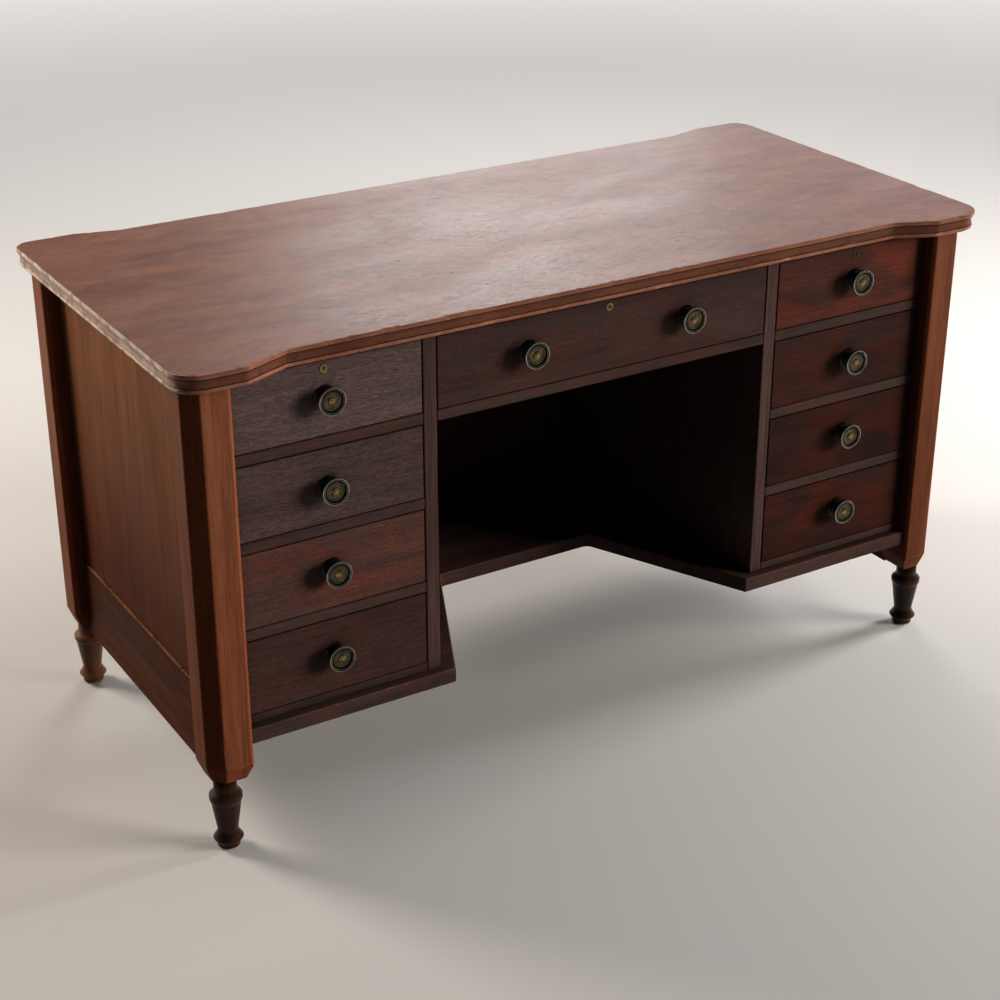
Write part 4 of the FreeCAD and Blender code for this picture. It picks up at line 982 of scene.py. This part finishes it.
class DESK_OT_knobs(Operator):
    """Make the turned brass knobs, with the screws that hold them"""
    bl_idname = "captains_desk.knobs"
    bl_label = "Knobs"

    def execute(self, context):
        settings = context.scene.desk_brass
        brass = aged_brass("aged_brass_knobs", settings.polished, settings.patina,
                           boss=settings.boss, rim=settings.rim)
        mesh = turned_mesh("turned_knob", KNOB, settings.knob_sides, "Y")
        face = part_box("left_top_drawer_front")[0].y
        for i, name in enumerate(f"{side}_{row}_drawer_knob" for side in SIDES for row in ROWS):
            low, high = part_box(name)
            place = Matrix.Translation(((low.x + high.x) / 2, face, (low.z + high.z) / 2))
            stand_in("turned_" + name, mesh, brass, name,
                     place @ Matrix.Rotation(KNOB_TURN * i, 4, "Y"))
        low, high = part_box("centre_drawer_knobs")
        reach = KNOB_HEAD * MM
        for side, x in (("left", low.x + reach), ("right", high.x - reach)):
            place = Matrix.Translation((x, face, (low.z + high.z) / 2))
            stand_in(f"turned_centre_{side}_knob", mesh, brass, "centre_drawer_knobs",
                     place @ Matrix.Rotation(CENTRE_TURN * x, 4, "Y"))
        return {"FINISHED"}


# Brightness of each lock: lit and shaded copies of one brass, painted light and shade
LOCK_PAINTED_LIGHT = {"left": 2.7, "centre": 2.3, "right": 0.6}


class DESK_OT_locks(Operator):
    """Finish the locks, their bolts and the screws of the top"""
    bl_idname = "captains_desk.locks"
    bl_label = "Locks"

    def execute(self, context):
        settings = context.scene.desk_brass
        steel = drawn_steel("drawn_steel_bolts", settings.steel)
        for place, bright in LOCK_PAINTED_LIGHT.items():
            brass = scaled(settings.lock, bright)
            ring = aged_brass(f"aged_brass_{place}_lock_case", brass, settings.patina, face=0.8)
            plug = aged_brass(f"aged_brass_{place}_lock_plug", scaled(brass, 0.7),
                              settings.patina, start=0.5)
            paint(ring, place + "_lock_case")
            paint(plug, place + "_lock_plug")
            paint(steel, place + "_lock_bolt")
        paint(steel, "cleat_screws")
        return {"FINISHED"}


# Stage: paper floor, soft lamps and the camera

# Name, place, aim, width and height in metres, power in watts, colour
LAMPS = (
    ("back_softbox", (1.86, 3.05, 2.2), (0.1, 0.1, 0.75), 1.4, 1.0, 45.0, "#faf8f8"),
    ("back_right_softbox", (3.0, 2.3, 1.75), (0.5, 0.0, 0.75), 0.9, 0.7, 7.5, "#f4e6f0"),
    ("left_softbox", (-2.1, 2.3, 1.9), (-0.6, 0.0, 0.5), 1.0, 1.4, 80.0, "#fff3e6"),
    ("right_softbox", (3.2, -0.35, 1.0), (0.7, -0.2, 0.4), 0.8, 1.4, 100.0, "#ffffff"),
    ("front_softbox", (8.0, -6.9, 3.0), (0.0, -0.2, 0.4), 4.4, 4.0, 1260.0, "#fff8f2"),
)
# Low fills that light the fronts and the right end, and aren't mirrored in the waxed top
FILL_LAMPS = ("right_softbox", "front_softbox")
# Room: a pale wall behind the desk, dimmer above, and dark behind the camera
WALL_LIGHT = 0.52
CEILING_LIGHT = 0.16
WALL_TOP = math.sin(math.radians(24))
WALL_WAY = (0.3, 0.95, 0.0)
WALL_ENDS = (-0.35, 0.55)
DARK_SHARE = 0.08
# Floor: its size and where it fades, in metres, how pale its far part shows, and the share of its
# colour that lights the desk
FLOOR_SIZE = 40.0
FLOOR_FADE = (1.2, 6.0)
FLOOR_SHOWN = 1.15
FLOOR_BOUNCE = 0.15


def aimed(name, data, place, way):
    """New lamp or camera at a place, which looks one way."""
    made = new_object(name, data)
    made.location = place
    made.rotation_mode = "QUATERNION"
    made.rotation_quaternion = way.to_track_quat("-Z", "Y")
    return made


def softbox(name, place, aim, wide, high, power, tint):
    light = bpy.data.lights.new(name, "AREA")
    light.shape = "RECTANGLE"
    light.size = wide
    light.size_y = high
    light.energy = power
    light.color = linear(tint)[:3]
    lamp = aimed(name, light, place, Vector(aim) - Vector(place))
    lamp.visible_camera = False
    lamp.visible_glossy = name not in FILL_LAMPS


def paper_floor(tint):
    """Matte paper: even and pale, with a faint tooth; it throws little light back at the desk."""
    material, add = with_nodes(bpy.data.materials.new("matte_paper_floor"))
    place = add("TexCoord").outputs["Object"]
    tooth = streaks(add, place, 5, 5)
    paper = add("MixRGB", [tooth, scaled(tint, 0.985), scaled(tint, 1.015)])
    # Far from the lamps the paper is shown as pale as near them, without lighting anything
    ray = add("LightPath").outputs
    seen = add("Math", [ray["Is Camera Ray"], ray["Is Glossy Ray"]], operation="MAXIMUM")
    seen = add("Math", [seen, ray["Is Transmission Ray"]], operation="MAXIMUM")
    far = add("VectorMath", [place], operation="LENGTH").outputs["Value"]
    far = add("MapRange", [far, *FLOOR_FADE])
    glow = add("Math", [seen, far], operation="MULTIPLY")
    glow = add("Math", [glow, FLOOR_SHOWN], operation="MULTIPLY")
    paper = add("MixRGB", [far, paper, BLACK])
    paper = add("MixRGB", [seen, scaled(tint, FLOOR_BOUNCE), paper])
    shader = add("BsdfPrincipled", {
        "Base Color": paper, "Roughness": 0.9, "Specular IOR Level": 0.1,
        "Emission Color": tint, "Emission Strength": glow})
    add("OutputMaterial", [shader])
    return material


class DESK_OT_stage(Operator):
    """Set up the floor, the lamps and the camera"""
    bl_idname = "captains_desk.stage"
    bl_label = "Stage"

    def execute(self, context):
        scene = context.scene
        settings = scene.desk_stage
        shape = bmesh.new()
        bmesh.ops.create_grid(shape, x_segments=1, y_segments=1, size=FLOOR_SIZE / 2)
        mesh = bpy.data.meshes.new("paper_floor")
        shape.to_mesh(mesh)
        shape.free()
        mesh.materials.append(paper_floor(settings.floor))
        floor = new_object("paper_floor", mesh)
        world, add = with_nodes(bpy.data.worlds.new("pale_room"))
        way = add("TexCoord").outputs["Generated"]
        up = add("SeparateXYZ", [way]).outputs["Z"]
        strength = add("MapRange", [up, 0.0, WALL_TOP, WALL_LIGHT, CEILING_LIGHT],
                       interpolation_type="SMOOTHSTEP")
        behind = add("VectorMath", [way, WALL_WAY], operation="DOT_PRODUCT").outputs["Value"]
        behind = add("MapRange", [behind, *WALL_ENDS, DARK_SHARE, 1.0],
                     interpolation_type="SMOOTHSTEP")
        strength = add("Math", [strength, behind], operation="MULTIPLY")
        air = add("Background", {"Color": WHITE, "Strength": strength})
        add("OutputWorld", [air])
        scene.world = world
        for lamp in LAMPS:
            softbox(*lamp)
        around, up = settings.camera_azimuth, settings.camera_elevation
        back = Vector((math.sin(around) * math.cos(up), -math.cos(around) * math.cos(up),
                       math.sin(up)))
        lens = bpy.data.cameras.new("camera")
        lens.lens = settings.lens
        scene.camera = aimed("camera", lens, settings.camera_place, -back)
        scene.view_settings.view_transform = "Standard"
        return {"FINISHED"}


class DESK_PT_pieces(Panel):
    bl_idname = "DESK_PT_pieces"
    bl_label = "Captain's desk"
    bl_space_type = "VIEW_3D"
    bl_region_type = "UI"
    bl_category = "Desk"

    def draw(self, context):
        for operator in OPERATORS:
            self.layout.operator(operator.bl_idname)
        for name in SETTINGS:
            group = getattr(context.scene, name)
            for key in group.__annotations__:
                self.layout.prop(group, key)


SETTINGS = {
    "desk_top": DeskTopSettings,
    "desk_case": CaseSettings,
    "desk_drawers": DrawerSettings,
    "desk_brass": BrassSettings,
    "desk_stage": StageSettings,
}
OPERATORS = (
    DESK_OT_top,
    DESK_OT_posts,
    DESK_OT_feet,
    DESK_OT_case,
    DESK_OT_drawers,
    DESK_OT_knobs,
    DESK_OT_locks,
    DESK_OT_stage,
)
CLASSES = (*SETTINGS.values(), *OPERATORS, DESK_PT_pieces)


def register():
    for item in CLASSES:
        bpy.utils.register_class(item)
    for name, group in SETTINGS.items():
        setattr(bpy.types.Scene, name, PointerProperty(type=group))


def unregister():
    for name in SETTINGS:
        delattr(bpy.types.Scene, name)
    for item in reversed(CLASSES):
        bpy.utils.unregister_class(item)


def main():
    register()
    bpy.ops.captains_desk.top()
    bpy.ops.captains_desk.posts()
    bpy.ops.captains_desk.feet()
    bpy.ops.captains_desk.case()
    bpy.ops.captains_desk.drawers()
    bpy.ops.captains_desk.knobs()
    bpy.ops.captains_desk.locks()
    bpy.ops.captains_desk.stage()


if __name__ == "__main__":
    main()
